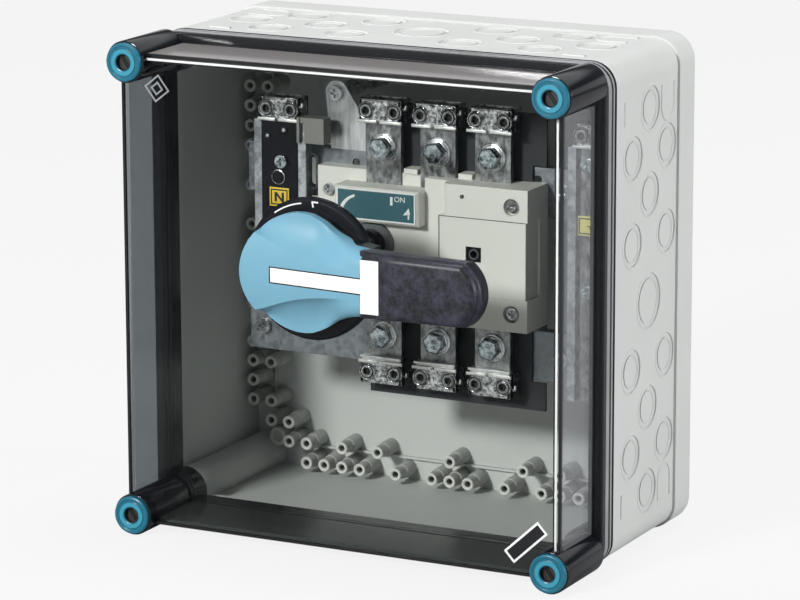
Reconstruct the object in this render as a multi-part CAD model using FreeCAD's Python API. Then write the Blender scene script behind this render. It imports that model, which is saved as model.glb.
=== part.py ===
"""Switch disconnector in a moulded enclosure with a clear lid and a rotary handle.

Millimetres. X is to the right, Y goes back to the wall and Z is up, so the lid faces -Y.
The origin is the centre of the enclosure's back face, which is screwed to the wall.
"""
import FreeCAD, Part
import math
import os

os.makedirs("parts", exist_ok=True)
V = FreeCAD.Vector

# Enclosure base
ENCLOSURE_SIZE = 300.0
REAR_RIM_DEPTH = 22.0
REAR_RIM_STEP = 1.5
BASE_DEPTH = 110.0
BASE_WALL = 3.5
BACK_WALL = 4.0
CORNER_RADIUS = 15.0
FRONT_COLLAR_DEPTH = 8.0
POST_RADIUS = 12.5
GRID = 12.5
BOSS_HEIGHT = 21.0
BOSS_RADIUS = 3.9
BOSS_HOLE_RADIUS = 1.75
BOSS_HOLE_DEPTH = 12.0
BOSS_SIDES = 10
BOSS_HOLE_SIDES = 6
FLOOR_RIB_SETBACK = 18.5
FLOOR_RIB_WIDTH = 1.5
FLOOR_RIB_HEIGHT = 3.0
WALL_HOLE_SETBACK = 25.0
WALL_HOLE_RADIUS = 3.5
KNOCKOUT_RADIUS = 13.4
KNOCKOUT_DEPTH = 0.6
KNOCKOUT_SIDES = 16
KNOCKOUT_CENTRE_RADIUS = 17.0
KNOCKOUT_ROWS = ((-86.0, (-89.0, -37.5, 37.5, 89.0)),
                 (-61.5, (-115.0, -64.0, 0.0, 64.0, 115.0)),
                 (-37.0, (-89.0, -37.5, 37.5, 89.0)))

# Lid and its screws
LID_DEPTH = 60.0
LID_STEP = 6.0
LID_WALL = 3.0
LID_FLANGE_DEPTH = 16.0
PANE = 3.0
LID_TUBE_RADIUS = 12.5
LID_TUBE_STAND = 4.5
SCREW_HEAD_RADIUS = 11.6
SCREW_HEAD_DEPTH = 6.0
SCREW_HEAD_PROUD = 2.5
SCREW_SHANK_RADIUS = 4.0
SCREW_LENGTH = 96.0
SCREW_SOCKET_RADIUS = 4.7
SCREW_SOCKET_DEPTH = 3.5
SCREW_RING = (6.9, 8.3)
SCREW_RING_DEPTH = 0.8
SCREW_POINT = 3.0
HEAD_CLEARANCE = 0.3
GROOVE_SETBACK = 2.5
GROOVE_WIDTH = 3.0
GROOVE_LAND = 2.0
GROOVE_DEPTH = 11.0
GROOVE_POST_RADIUS = 9.5
TONGUE_LENGTH = 8.0
TONGUE_CLEARANCE = 0.3
GASKET_DEPTH = 2.8

# Carrier rails
RAIL_FRONT = 76.0
RAIL_HEIGHT = 30.0
RAIL_SHEET = 2.0
RAIL_RETURN = 9.0
RAIL_LEFT = -110.0
RAIL_RIGHT = 139.0
RAIL_UPPER_Z = 61.5
RAIL_LOWER_Z = -37.0
PILLAR_RADIUS = 5.0
PILLAR_X = 100.0
RAIL_SCREW_HEIGHTS = (62.5, -37.5)
RAIL_SPARE_HOLES = (-36.5, 83.5)
RAIL_SPARE_RISE = 6.5
RAIL_SCREW_HEAD = 4.6
RAIL_SCREW_DEPTH = 3.0
RAIL_SCREW_RADIUS = 2.5
RAIL_SCREW_LENGTH = 12.0
PILLAR_THREAD_DEPTH = 14.0
RAIL_SLOT = (-65.5, 4.5, 17.0)
STAY_TOP = (-49.5, 110.5)
STAY_HEAD_RADIUS = 7.5
STAY_LEFT = -53.5
STAY_RIGHT = -30.0
STAY_SHOULDER = (-33.4, 100.0)
STAY_SHOULDER_END = 93.0
PLATE_THICKNESS = 2.0
PLATE_TOP = 108.5
PLATE_BOTTOM = -70.0
PLATE_NOTCH = 9.0
PLATE_MARGIN = 3.0
PLATE_ROOM = 1.0

# Switch body; its rear face lies on the rails
AXIS_X = -15.0
AXIS_Z = 25.3
SWITCH_LEFT = -57.0
SWITCH_RIGHT = 90.0
SWITCH_HALF_HEIGHT = 42.5
TRAY_FLOOR = 2.0
SWITCH_WALL = 2.5
COVER_SHEET = 2.0
LEFT_BLOCK = (-37.0, 32.0)
LEFT_BLOCK_REACH = 35.2
LEFT_BLOCK_FRONT = 95.0
LEFT_BLOCK_SHOULDER = 19.0
LABEL_BOX_FRONT = 104.0
LABEL_BOX_BOTTOM = 39.5
LABEL_SIZE = (52.3, 18.6)
LABEL_CENTRE = (-8.8, 50.4)
LABEL_SHEET = 0.6
RIGHT_BLOCK_LEFT = 34.9
RIGHT_BLOCK_FRONT = 104.0
RIGHT_BLOCK_STEP = 1.5
RIGHT_ZONE_REACH = 23.3
COVER_SCREW_RADIUS = 3.6
COVER_SCREWS_LEFT = (-49.0, 28.7)
COVER_SCREWS_RIGHT = (79.6, 31.9)
TEST_CONTACT = (54.7, 26.7)

# Terminals
POLE_PITCH = 36.0
FIRST_POLE_X = -12.0
BAR_WIDTH = 23.0
BAR_SHEET = 3.5
BAR_BACK = 84.5
BAR_SLOT_ROOM = 0.1
FINGER_WIDTH = 9.0
FINGER_END = 15.0
FINGER_ROOT = 31.0
BOLT_REACH = 57.3
BOLT_RADIUS = 4.0
BOLT_HEAD_FLATS = 13.0
BOLT_HEAD_DEPTH = 5.3
WASHER_RADIUS = 8.6
WASHER_DEPTH = 2.2
NUT_DEPTH = 2.6
CLAMP_REACH = 79.5
CLAMP_HEIGHT = 14.0
CLAMP_WALL = 2.2
CLAMP_FRONT_WALL = 4.4
CLAMP_REAR_WALL = 1.5
CLAMP_THROAT = 4.7
CLAMP_SCREW_RADIUS = 2.2
CLAMP_SCREW_HEAD = 4.0
CLAMP_SCREW_PROUD = 0.8
CLAMP_SCREW_SETBACK = 2.3
BAR_TIP_SETBACK = 1.0

# Neutral and earth terminals
NEUTRAL_X = -80.4
EARTH_X = 127.0
CHANNEL_WIDTH = 35.0
CHANNEL_BODY = 27.6
CHANNEL_SHEET = 1.5
CHANNEL_DEPTH = 15.0
CHANNEL_TOP = 93.5
NEUTRAL_CHANNEL_BOTTOM = -20.0
EARTH_CHANNEL_BOTTOM = -58.0
SPACER_DEPTH = 7.0
SPACER_MARGIN = 0.5
SIDE_BAR_WIDTH = 21.0
SIDE_CLAMP_GAP = 0.3
SIDE_COVER_DEPTH = 3.6
SIDE_LABEL = (12.8, 11.0)
SIDE_LABEL_Z = 47.0
SIDE_LABEL_SHEET = 0.8
SIDE_SCREW_LENGTH = 9.0
NEUTRAL_SCREWS = ((1.9, 69.0), (0.0, -8.0))
EARTH_SCREWS = ((-5.9, 82.9), (-5.4, 7.7), (0.0, -46.0))
CLIP_RIGHT = 13.4
CLIP_BOTTOM = 81.5
CLIP_TOP = 97.0
CLIP_FRONT = 94.0
CLIP_GAP = 0.3

# Drive: pinion on the shaft, rack on the contact carrier
MODULE = 1.5
PINION_TEETH = 12
PINION_ADDENDUM = 1.4
RACK_ADDENDUM = 1.0
RACK_DEDENDUM = 1.7
PRESSURE_ANGLE = math.radians(20.0)
BACKLASH = 0.35
RACK_TEETH = 6
CARRIER_LEFT = -34.0
CARRIER_RIGHT = 66.0
CARRIER_FOOT = 6.5
CARRIER_SHEET = 2.3
GUIDE_CLEARANCE = 0.2
BLADE_SHEET = 2.0
BLADE_CLEARANCE = 0.8
CONTACT_GAP = 0.3
SHAFT_SQUARE = 10.0
SHAFT_TIP_SETBACK = 12.0
JOURNAL_RADIUS = 6.0
JOURNAL_FIT = 0.05
BEARING_RADIUS = 13.5
BEARING_NECK_RADIUS = 9.0
BEARING_CHAMFER = 0.8
BEARING_FLANGE = 3.5
COLLAR_RADIUS = 9.5
COLLAR_DEPTH = 5.5

# Handle
ESCUTCHEON_RADIUS = 42.0
ESCUTCHEON_DEPTH = 5.5
BUSH_RADIUS = 13.0
BUSH_LENGTH = 9.0
SPINDLE_RADIUS = 10.0
SPINDLE_FIT = 0.06
SOCKET_CLEARANCE = 0.35
HANDLE_GAP = 0.4
HUB_BASE_RADIUS = 35.5
HUB_FRONT_RADIUS = 33.0
HANDLE_STAND = 33.0
HUB_DEPTH = 22.0
NECK_HALF = 21.5
NECK_END = 46.4
GRIP_END = 116.5
GRIP_HALF = 18.8
GRIP_DEPTH = 22.5
GRIP_ROUND = 7.0
GRIP_TIP_RADIUS = 22.5
SCOOP_RADIUS = 36.0
SCOOP_START = (-20.5, 25.6)
SCOOP_END = (36.0, 8.0)
SCOOP_OVERRUN = 60.0
SEAL_GROOVE = (17.0, 20.0)
SEAL_DEPTH = 1.2
SEAL_ROOM = 0.1
POINTER_WIDTH = 8.2
POINTER_LEFT = -13.5
BAND_WIDTH = 11.4
BAND_HALF = 16.1
INLAY_DEPTH = 1.2

# Derived places
HALF_RIM = ENCLOSURE_SIZE / 2
SCREW_HALF_SPACING = HALF_RIM - POST_RADIUS
WALL_HOLE_HALF_SPACING = HALF_RIM - WALL_HOLE_SETBACK
FLOOR_RIB_HALF = HALF_RIM - FLOOR_RIB_SETBACK
HALF = HALF_RIM - REAR_RIM_STEP
INNER = HALF - BASE_WALL
GROOVE_OUTER_HALF = HALF - GROOVE_SETBACK
PANE_FRONT = BASE_DEPTH + LID_DEPTH
LID_HALF = HALF - LID_STEP
LID_INNER = LID_HALF - LID_WALL
TUBE_FRONT = PANE_FRONT + LID_TUBE_STAND
HUB_FRONT = PANE_FRONT + HANDLE_STAND
HUB_REAR = HUB_FRONT - HUB_DEPTH
GRIP_REAR = HUB_FRONT - GRIP_DEPTH
SHAFT_TIP = HUB_FRONT - SHAFT_TIP_SETBACK
POLES = [FIRST_POLE_X + POLE_PITCH * i for i in range(3)]
SWITCH_LOW = AXIS_Z - SWITCH_HALF_HEIGHT
SWITCH_HIGH = AXIS_Z + SWITCH_HALF_HEIGHT
BAR_FRONT = BAR_BACK + BAR_SHEET
BAR_END_REACH = CLAMP_REACH + CLAMP_HEIGHT / 2 - BAR_TIP_SETBACK
COVER_FRONT = BAR_BACK + COVER_SHEET
BLADE_BACK = BAR_FRONT + CONTACT_GAP
CARRIER_BACK = BLADE_BACK + BLADE_SHEET
CARRIER_FRONT = CARRIER_BACK + CARRIER_SHEET
PASSAGE_REACH = RIGHT_ZONE_REACH - 1.0
BLADE_REACH = PASSAGE_REACH - BLADE_CLEARANCE
PITCH_RADIUS = MODULE * PINION_TEETH / 2
TOOTH_PITCH = math.pi * MODULE
RACK_ROOT_Z = AXIS_Z - PITCH_RADIUS - RACK_DEDENDUM
CARRIER_FOOT_Z = RACK_ROOT_Z - CARRIER_FOOT
CORNERS = [(sx, sz) for sx in (-1, 1) for sz in (-1, 1)]


def box(x0, x1, y0, y1, z0, z1):
    """Box between two corners; y0 and y1 are distances in front of the wall."""
    return Part.makeBox(x1 - x0, abs(y1 - y0), z1 - z0, V(x0, -max(y0, y1), z0))


def rod(x, z, radius, y0, y1):
    """Cylinder along Y between two distances in front of the wall."""
    return Part.makeCylinder(radius, abs(y1 - y0), V(x, -max(y0, y1), z), V(0, 1, 0))


def outline(points, y0, y1):
    """Prism along Y over a closed outline of (x, z) points."""
    start = -max(y0, y1)
    wire = Part.makePolygon([V(x, start, z) for x, z in points + points[:1]])
    return Part.Face(wire).extrude(V(0, abs(y1 - y0), 0))


def polygon_points(x, z, radius, sides, turn=0.5):
    """Corners of a regular polygon of the given outer radius."""
    steps = [2 * math.pi * (i + turn) / sides for i in range(sides)]
    return [(x + radius * math.cos(a), z + radius * math.sin(a)) for a in steps]


def rounded(half, radius, y0, y1):
    """Square prism about the Y axis with rounded corners."""
    solid = box(-half, half, y0, y1, -half, half)
    edges = [e for e in solid.Edges if abs(e.Vertexes[0].Z - e.Vertexes[1].Z) < 0.01
             and abs(e.Vertexes[0].X - e.Vertexes[1].X) < 0.01]
    return solid.makeFillet(radius, edges)


def fused(solids):
    """One solid out of several that meet."""
    return solids[0].multiFuse(solids[1:]).removeSplitter() if len(solids) > 1 else solids[0]


def cut(solid, tools):
    """A solid with every tool taken out of it."""
    return solid.cut(Part.makeCompound(tools)).removeSplitter() if tools else solid


def at_corners(radius, y0, y1):
    """Four equal rods at the lid screws."""
    return [rod(sx * SCREW_HALF_SPACING, sz * SCREW_HALF_SPACING, radius, y0, y1) for sx, sz in CORNERS]


def save(name, solid):
    solid.exportStep("parts/" + name + ".step")


def mirrored_z(z, side):
    """Height of a place on the switch, above the shaft for side 1 and below it for -1."""
    return AXIS_Z + side * z


def boss_places():
    """Grid places of the fixing bosses, the same along all four edges of the back wall."""
    outer = [(i, 11) for i in (0, 1, 3, 5, 6, 7, 8)]
    inner = [(i, 10) for i in (0, 4, 6, 8, 9)]
    quarter = outer + inner + [(j, i) for i, j in outer + inner] + [(9, 9)]
    places = {(sx * i, sz * j) for i, j in quarter for sx, sz in CORNERS}
    return sorted((i * GRID, j * GRID) for i, j in places)


def knockout_recesses():
    """Shallow recesses that mark the cable entries in the four side walls."""
    recesses = []
    for depth, heights in KNOCKOUT_ROWS:
        for along in heights:
            radius = KNOCKOUT_CENTRE_RADIUS if along == 0.0 else KNOCKOUT_RADIUS
            disc = outline(polygon_points(0, 0, radius, KNOCKOUT_SIDES), 0, KNOCKOUT_DEPTH)
            disc.rotate(V(0, 0, 0), V(0, 0, 1), -90)
            disc.translate(V(HALF, -abs(depth), along))
            for turn in (0, 90, 180, 270):
                copy = disc.copy()
                copy.rotate(V(0, 0, 0), V(0, 1, 0), turn)
                recesses.append(copy)
    return recesses


def corner_blocks(y0, y1):
    """Square blocks from each lid screw out to the enclosure's corner."""
    blocks = []
    for sx, sz in CORNERS:
        x0, x1 = sorted((sx * SCREW_HALF_SPACING, sx * HALF_RIM))
        z0, z1 = sorted((sz * SCREW_HALF_SPACING, sz * HALF_RIM))
        blocks.append(box(x0, x1, y0, y1, z0, z1))
    return blocks


def sealing_ring(outer_half, post_radius, width, y0, y1):
    """Square ring that passes inside the four lid screws."""
    outer = cut(box(-outer_half, outer_half, y0, y1, -outer_half, outer_half),
                at_corners(post_radius, y0, y1) + corner_blocks(y0, y1))
    half = outer_half - width
    inner = cut(box(-half, half, y0, y1, -half, half), at_corners(post_radius + width, y0, y1))
    return outer.cut(inner)


def enclosure_base():
    shell = fused([rounded(HALF, CORNER_RADIUS, 0, BASE_DEPTH),
                   rounded(HALF_RIM, CORNER_RADIUS + REAR_RIM_STEP, 0, REAR_RIM_DEPTH)])
    collar_front = BASE_DEPTH - FRONT_COLLAR_DEPTH
    cavity = rounded(INNER, CORNER_RADIUS - BASE_WALL, BACK_WALL, collar_front)
    mouth_half = GROOVE_OUTER_HALF - GROOVE_WIDTH - GROOVE_LAND
    mouth = cut(box(-mouth_half, mouth_half, collar_front, BASE_DEPTH, -mouth_half, mouth_half),
                at_corners(GROOVE_POST_RADIUS + GROOVE_WIDTH + GROOVE_LAND, collar_front, BASE_DEPTH))
    posts = fused(at_corners(POST_RADIUS, BACK_WALL, collar_front))
    body = cut(shell, [cut(cavity, [posts]), mouth])
    tongue = sealing_ring(GROOVE_OUTER_HALF - TONGUE_CLEARANCE, GROOVE_POST_RADIUS + TONGUE_CLEARANCE,
                          GROOVE_WIDTH - 2 * TONGUE_CLEARANCE, BASE_DEPTH, BASE_DEPTH + TONGUE_LENGTH)
    rib_top = BACK_WALL + FLOOR_RIB_HEIGHT
    rib_half = FLOOR_RIB_HALF - FLOOR_RIB_WIDTH
    rib = cut(box(-FLOOR_RIB_HALF, FLOOR_RIB_HALF, BACK_WALL, rib_top, -FLOOR_RIB_HALF, FLOOR_RIB_HALF),
              [box(-rib_half, rib_half, BACK_WALL, rib_top, -rib_half, rib_half)])
    body = fused([body, tongue, rib])
    shank = at_corners(SCREW_SHANK_RADIUS + HEAD_CLEARANCE, TUBE_FRONT - SCREW_LENGTH - 2.0,
                       BASE_DEPTH + TONGUE_LENGTH)
    wall_holes = [rod(sx * WALL_HOLE_HALF_SPACING, sz * WALL_HOLE_HALF_SPACING, WALL_HOLE_RADIUS,
                      0, BACK_WALL + FLOOR_RIB_HEIGHT) for sx, sz in CORNERS]
    return cut(body, shank + wall_holes + knockout_recesses())


def fixing_boss(x, z):
    """Hollow boss on the back wall for a self-tapping screw."""
    top = BACK_WALL + BOSS_HEIGHT
    post = outline(polygon_points(x, z, BOSS_RADIUS, BOSS_SIDES), BACK_WALL, top)
    hole = outline(polygon_points(x, z, BOSS_HOLE_RADIUS, BOSS_HOLE_SIDES), top - BOSS_HOLE_DEPTH, top)
    return post.cut(hole)


def enclosure_lid():
    flange_front = BASE_DEPTH + LID_FLANGE_DEPTH
    lid_corner = CORNER_RADIUS - LID_STEP
    tubes = at_corners(LID_TUBE_RADIUS, BASE_DEPTH, TUBE_FRONT)
    body = fused([rounded(HALF, CORNER_RADIUS, BASE_DEPTH, flange_front),
                  rounded(LID_HALF, lid_corner, flange_front, PANE_FRONT)] + tubes)
    inside = rounded(LID_INNER, lid_corner - LID_WALL, BASE_DEPTH, PANE_FRONT - PANE)
    inside = cut(inside, at_corners(GROOVE_POST_RADIUS + GROOVE_WIDTH + GROOVE_LAND, BASE_DEPTH, flange_front)
                 + at_corners(LID_TUBE_RADIUS, flange_front, PANE_FRONT))
    groove = sealing_ring(GROOVE_OUTER_HALF, GROOVE_POST_RADIUS, GROOVE_WIDTH,
                          BASE_DEPTH, BASE_DEPTH + GROOVE_DEPTH)
    bores = at_corners(SCREW_SHANK_RADIUS + JOURNAL_FIT, BASE_DEPTH, TUBE_FRONT)
    head_seat = TUBE_FRONT + SCREW_HEAD_PROUD - SCREW_HEAD_DEPTH
    seats = at_corners(SCREW_HEAD_RADIUS + HEAD_CLEARANCE, head_seat, TUBE_FRONT)
    handle_hole = rod(AXIS_X, AXIS_Z, BUSH_RADIUS, PANE_FRONT - PANE, PANE_FRONT)
    return cut(body, [inside, groove, handle_hole] + bores + seats)


def lid_gasket():
    top = BASE_DEPTH + GROOVE_DEPTH
    return sealing_ring(GROOVE_OUTER_HALF - TONGUE_CLEARANCE, GROOVE_POST_RADIUS + TONGUE_CLEARANCE,
                        GROOVE_WIDTH - 2 * TONGUE_CLEARANCE, top - GASKET_DEPTH, top)


def lid_screw(x, z):
    head_front = TUBE_FRONT + SCREW_HEAD_PROUD
    head_back = head_front - SCREW_HEAD_DEPTH
    head = rod(x, z, SCREW_HEAD_RADIUS, head_back, head_front)
    head = head.makeFillet(1.2, [head.Edges[i] for i in range(len(head.Edges))
                                 if abs(head.Edges[i].BoundBox.YMin + head_front) < 0.01
                                 and abs(head.Edges[i].BoundBox.YMax + head_front) < 0.01])
    ring_inner, ring_outer = SCREW_RING
    ring_back = head_front - SCREW_RING_DEPTH
    ring = cut(rod(x, z, ring_outer, ring_back, head_front), [rod(x, z, ring_inner, ring_back, head_front)])
    socket = rod(x, z, SCREW_SOCKET_RADIUS, head_front - SCREW_SOCKET_DEPTH, head_front)
    slot = box(x - 1.1, x + 1.1, head_front - SCREW_SOCKET_DEPTH - 1.5, head_front,
               z - SCREW_SOCKET_RADIUS, z + SCREW_SOCKET_RADIUS)
    tip = TUBE_FRONT - SCREW_LENGTH
    shank = rod(x, z, SCREW_SHANK_RADIUS, tip + SCREW_POINT, head_back)
    point = Part.makeCone(SCREW_SHANK_RADIUS * 0.55, SCREW_SHANK_RADIUS, SCREW_POINT,
                          V(x, -tip, z), V(0, -1, 0))
    return cut(fused([head, shank, point]), [ring, socket, slot])


def rail(z, cuts):
    """Folded steel rail: a front web with two returns towards the wall."""
    low = z - RAIL_HEIGHT / 2
    high = z + RAIL_HEIGHT / 2
    front = RAIL_FRONT
    web = box(RAIL_LEFT, RAIL_RIGHT, front - RAIL_SHEET, front, low, high)
    upper = box(RAIL_LEFT, RAIL_RIGHT, front - RAIL_RETURN, front, high - RAIL_SHEET, high)
    lower = box(RAIL_LEFT, RAIL_RIGHT, front - RAIL_RETURN, front, low, low + RAIL_SHEET)
    return cut(fused([web, upper, lower]), cuts)


def rail_hole(x, z):
    return rod(x, z, RAIL_SCREW_RADIUS + 0.1, RAIL_FRONT - RAIL_RETURN, RAIL_FRONT)


def rail_slot():
    """Long hole in the upper rail beside the neutral terminal."""
    x, width, length = RAIL_SLOT
    half = (length - width) / 2
    back = RAIL_FRONT - RAIL_SHEET
    ends = [rod(x, RAIL_UPPER_Z + side * half, width / 2, back, RAIL_FRONT) for side in (-1, 1)]
    middle = box(x - width / 2, x + width / 2, back, RAIL_FRONT, RAIL_UPPER_Z - half, RAIL_UPPER_Z + half)
    return fused([middle] + ends)


def rail_screw_places():
    return [(sx * PILLAR_X, z) for sx in (-1, 1) for z in RAIL_SCREW_HEIGHTS]


def rail_pillars():
    """Threaded steel pillars that carry the rails and the stay in front of the back wall."""
    back = BACK_WALL
    front = RAIL_FRONT - RAIL_SHEET
    pillars = []
    for x, z in rail_screw_places() + [STAY_TOP]:
        thread = rod(x, z, RAIL_SCREW_RADIUS, front - PILLAR_THREAD_DEPTH, front)
        pillars.append(cut(rod(x, z, PILLAR_RADIUS, back, front), [thread]))
    return Part.makeCompound(pillars)


def pan_screw(x, z, seat, head_radius, head_depth, shank_radius, length):
    """Cross-recessed pan-head screw that goes in towards the wall from its seat."""
    head = rod(x, z, head_radius, seat, seat + head_depth)
    shank = rod(x, z, shank_radius, seat - length, seat)
    reach = head_radius * 0.6
    front = seat + head_depth
    cross = [box(x - reach, x + reach, front - 1.2, front, z - 0.6, z + 0.6),
             box(x - 0.6, x + 0.6, front - 1.2, front, z - reach, z + reach)]
    return cut(fused([head, shank]), cross)


def rail_screws():
    places = rail_screw_places() + [STAY_TOP]
    return Part.makeCompound([pan_screw(x, z, RAIL_FRONT, RAIL_SCREW_HEAD, RAIL_SCREW_DEPTH,
                                        RAIL_SCREW_RADIUS, RAIL_SCREW_LENGTH) for x, z in places])


def rail_stay():
    """Broad slanting strap from the upper rail to a pillar near the top edge."""
    top_x, top_z = STAY_TOP
    foot = RAIL_UPPER_Z + RAIL_HEIGHT / 2
    back = RAIL_FRONT - RAIL_SHEET
    radius = STAY_HEAD_RADIUS
    tangent = radius * math.sqrt(0.5)
    strap = outline([(STAY_LEFT, foot), (top_x - radius, top_z), (top_x + tangent, top_z + tangent),
                     STAY_SHOULDER, (STAY_RIGHT, STAY_SHOULDER_END), (STAY_RIGHT, foot)], back, RAIL_FRONT)
    head = rod(top_x, top_z, radius, back, RAIL_FRONT)
    return cut(fused([strap, head]), [rod(top_x, top_z, RAIL_SCREW_RADIUS, back, RAIL_FRONT)])


def insulating_plate():
    """Dark board behind the terminals, open where the switch stands and notched beside the rails."""
    front = RAIL_FRONT + PLATE_THICKNESS
    left = POLES[0] - BAR_WIDTH / 2 - PLATE_MARGIN
    plates = []
    for low, high in ((SWITCH_HIGH, PLATE_TOP), (PLATE_BOTTOM, SWITCH_LOW)):
        plates.append(box(left, SWITCH_RIGHT, RAIL_FRONT, front, low, high))
    notches = []
    for z in (RAIL_UPPER_Z, RAIL_LOWER_Z):
        low = z - RAIL_HEIGHT / 2 - PLATE_ROOM
        high = z + RAIL_HEIGHT / 2 + PLATE_ROOM
        notches.append(box(SWITCH_RIGHT - PLATE_NOTCH, SWITCH_RIGHT, RAIL_FRONT, front, low, high))
    return Part.makeCompound([cut(plate, notches) for plate in plates])


def cover_screw_places(place):
    x, reach = place
    return [(x, AXIS_Z + side * reach) for side in (-1, 1)]


def bar_slots():
    """Room for the six bars where they leave the switch."""
    half = BAR_WIDTH / 2 + BAR_SLOT_ROOM
    front = BAR_FRONT + BAR_SLOT_ROOM
    inner = FINGER_ROOT - 1.0
    return [box(x - half, x + half, BAR_BACK, front, low, high) for x in POLES
            for low, high in ((AXIS_Z + inner, SWITCH_HIGH + 1.0), (SWITCH_LOW - 1.0, AXIS_Z - inner))]


def switch_tray():
    """Moulded tray with ledges for the bars, screw posts and the guides of the contact carrier."""
    rear = RAIL_FRONT
    floor = rear + TRAY_FLOOR
    rim = BAR_BACK
    tray = box(SWITCH_LEFT, SWITCH_RIGHT, rear, rim, SWITCH_LOW, SWITCH_HIGH)
    room = box(SWITCH_LEFT + SWITCH_WALL, SWITCH_RIGHT - SWITCH_WALL, floor, rim,
               SWITCH_LOW + SWITCH_WALL, SWITCH_HIGH - SWITCH_WALL)
    parts = [cut(tray, [room])]
    for x, z in cover_screw_places(COVER_SCREWS_LEFT) + cover_screw_places(COVER_SCREWS_RIGHT):
        parts.append(box(x - 4.0, x + 4.0, floor, rim, z - 4.0, z + 4.0))
    for side in (-1, 1):
        z = mirrored_z(FINGER_ROOT + 1.5, side)
        parts.append(box(SWITCH_LEFT + SWITCH_WALL, SWITCH_RIGHT - SWITCH_WALL, floor, rim,
                         z - 1.5, z + 1.5))
        for x in POLES[:2]:
            middle = x + POLE_PITCH / 2
            lug_z = mirrored_z(SWITCH_HALF_HEIGHT + 1.5, side)
            parts.append(box(middle - 4.5, middle + 4.5, rear + PLATE_THICKNESS, COVER_FRONT + 1.5,
                             lug_z - 1.5, lug_z + 1.5))
    guide_back = CARRIER_BACK - GUIDE_CLEARANCE
    guide_front = CARRIER_FRONT
    below = CARRIER_FOOT_Z - GUIDE_CLEARANCE
    above = RACK_ROOT_Z + GUIDE_CLEARANCE
    for x in (POLES[0] + 23.0, POLES[1] + 23.0):
        parts.append(box(x, x + 6.5, floor, guide_back, below - 3.0, above + 3.0))
        parts.append(box(x, x + 6.5, guide_back, guide_front, below - 3.0, below))
        parts.append(box(x, x + 6.5, guide_back, guide_front, above, above + 3.0))
    left = LEFT_BLOCK[0] + SWITCH_WALL + 0.5
    parts.append(box(left, left + 10.0, floor, guide_back, below - 3.0, above))
    parts.append(box(left, left + 10.0, guide_back, guide_front, below - 3.0, below))
    holes = [rod(x, z, 1.6, floor, rim)
             for x, z in cover_screw_places(COVER_SCREWS_LEFT) + cover_screw_places(COVER_SCREWS_RIGHT)]
    return cut(fused(parts), holes)


def mechanism_cover():
    """Left cover over the drive, with the raised box that carries the indicator label."""
    left, right = LEFT_BLOCK
    low = AXIS_Z - LEFT_BLOCK_REACH
    high = AXIS_Z + LEFT_BLOCK_REACH
    front = LEFT_BLOCK_FRONT
    wall = SWITCH_WALL
    plate = box(SWITCH_LEFT, RIGHT_BLOCK_LEFT, BAR_BACK, COVER_FRONT, SWITCH_LOW, SWITCH_HIGH)
    block = box(left, LEFT_BLOCK_SHOULDER, BAR_BACK, front, low, high)
    shoulder = box(LEFT_BLOCK_SHOULDER, right, BAR_BACK, front, SWITCH_LOW, SWITCH_HIGH)
    zones = ((SWITCH_LOW, AXIS_Z - RIGHT_ZONE_REACH), (AXIS_Z + RIGHT_ZONE_REACH, SWITCH_HIGH))
    upright = [box(right, RIGHT_BLOCK_LEFT, COVER_FRONT, front, z0, z1) for z0, z1 in zones]
    label_box = box(left, LEFT_BLOCK_SHOULDER, BAR_BACK, LABEL_BOX_FRONT, LABEL_BOX_BOTTOM, high)
    label_box = label_box.makeChamfer(1.2, [e for e in label_box.Edges
                                            if abs(e.BoundBox.YMax + LABEL_BOX_FRONT) < 0.01])
    body = fused([plate, block, shoulder, label_box] + upright)
    hollows = [box(left + wall, right, BAR_BACK, front - COVER_SHEET, low + wall, high - wall),
               box(LEFT_BLOCK_SHOULDER + wall, right, BAR_BACK, front - COVER_SHEET,
                   SWITCH_LOW + wall, SWITCH_HIGH - wall),
               box(left + wall, LEFT_BLOCK_SHOULDER - wall, BAR_BACK, LABEL_BOX_FRONT - COVER_SHEET,
                   LABEL_BOX_BOTTOM + wall, high - wall),
               box(right - 1.0, RIGHT_BLOCK_LEFT, BAR_BACK, front - COVER_SHEET,
                   AXIS_Z - PASSAGE_REACH, AXIS_Z + PASSAGE_REACH)]
    holes = [rod(AXIS_X, AXIS_Z, BEARING_NECK_RADIUS, BAR_BACK, front)]
    for x, z in cover_screw_places(COVER_SCREWS_LEFT):
        holes.append(rod(x, z, 1.8, BAR_BACK, COVER_FRONT))
    return cut(body, hollows + bar_slots() + holes)


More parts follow.
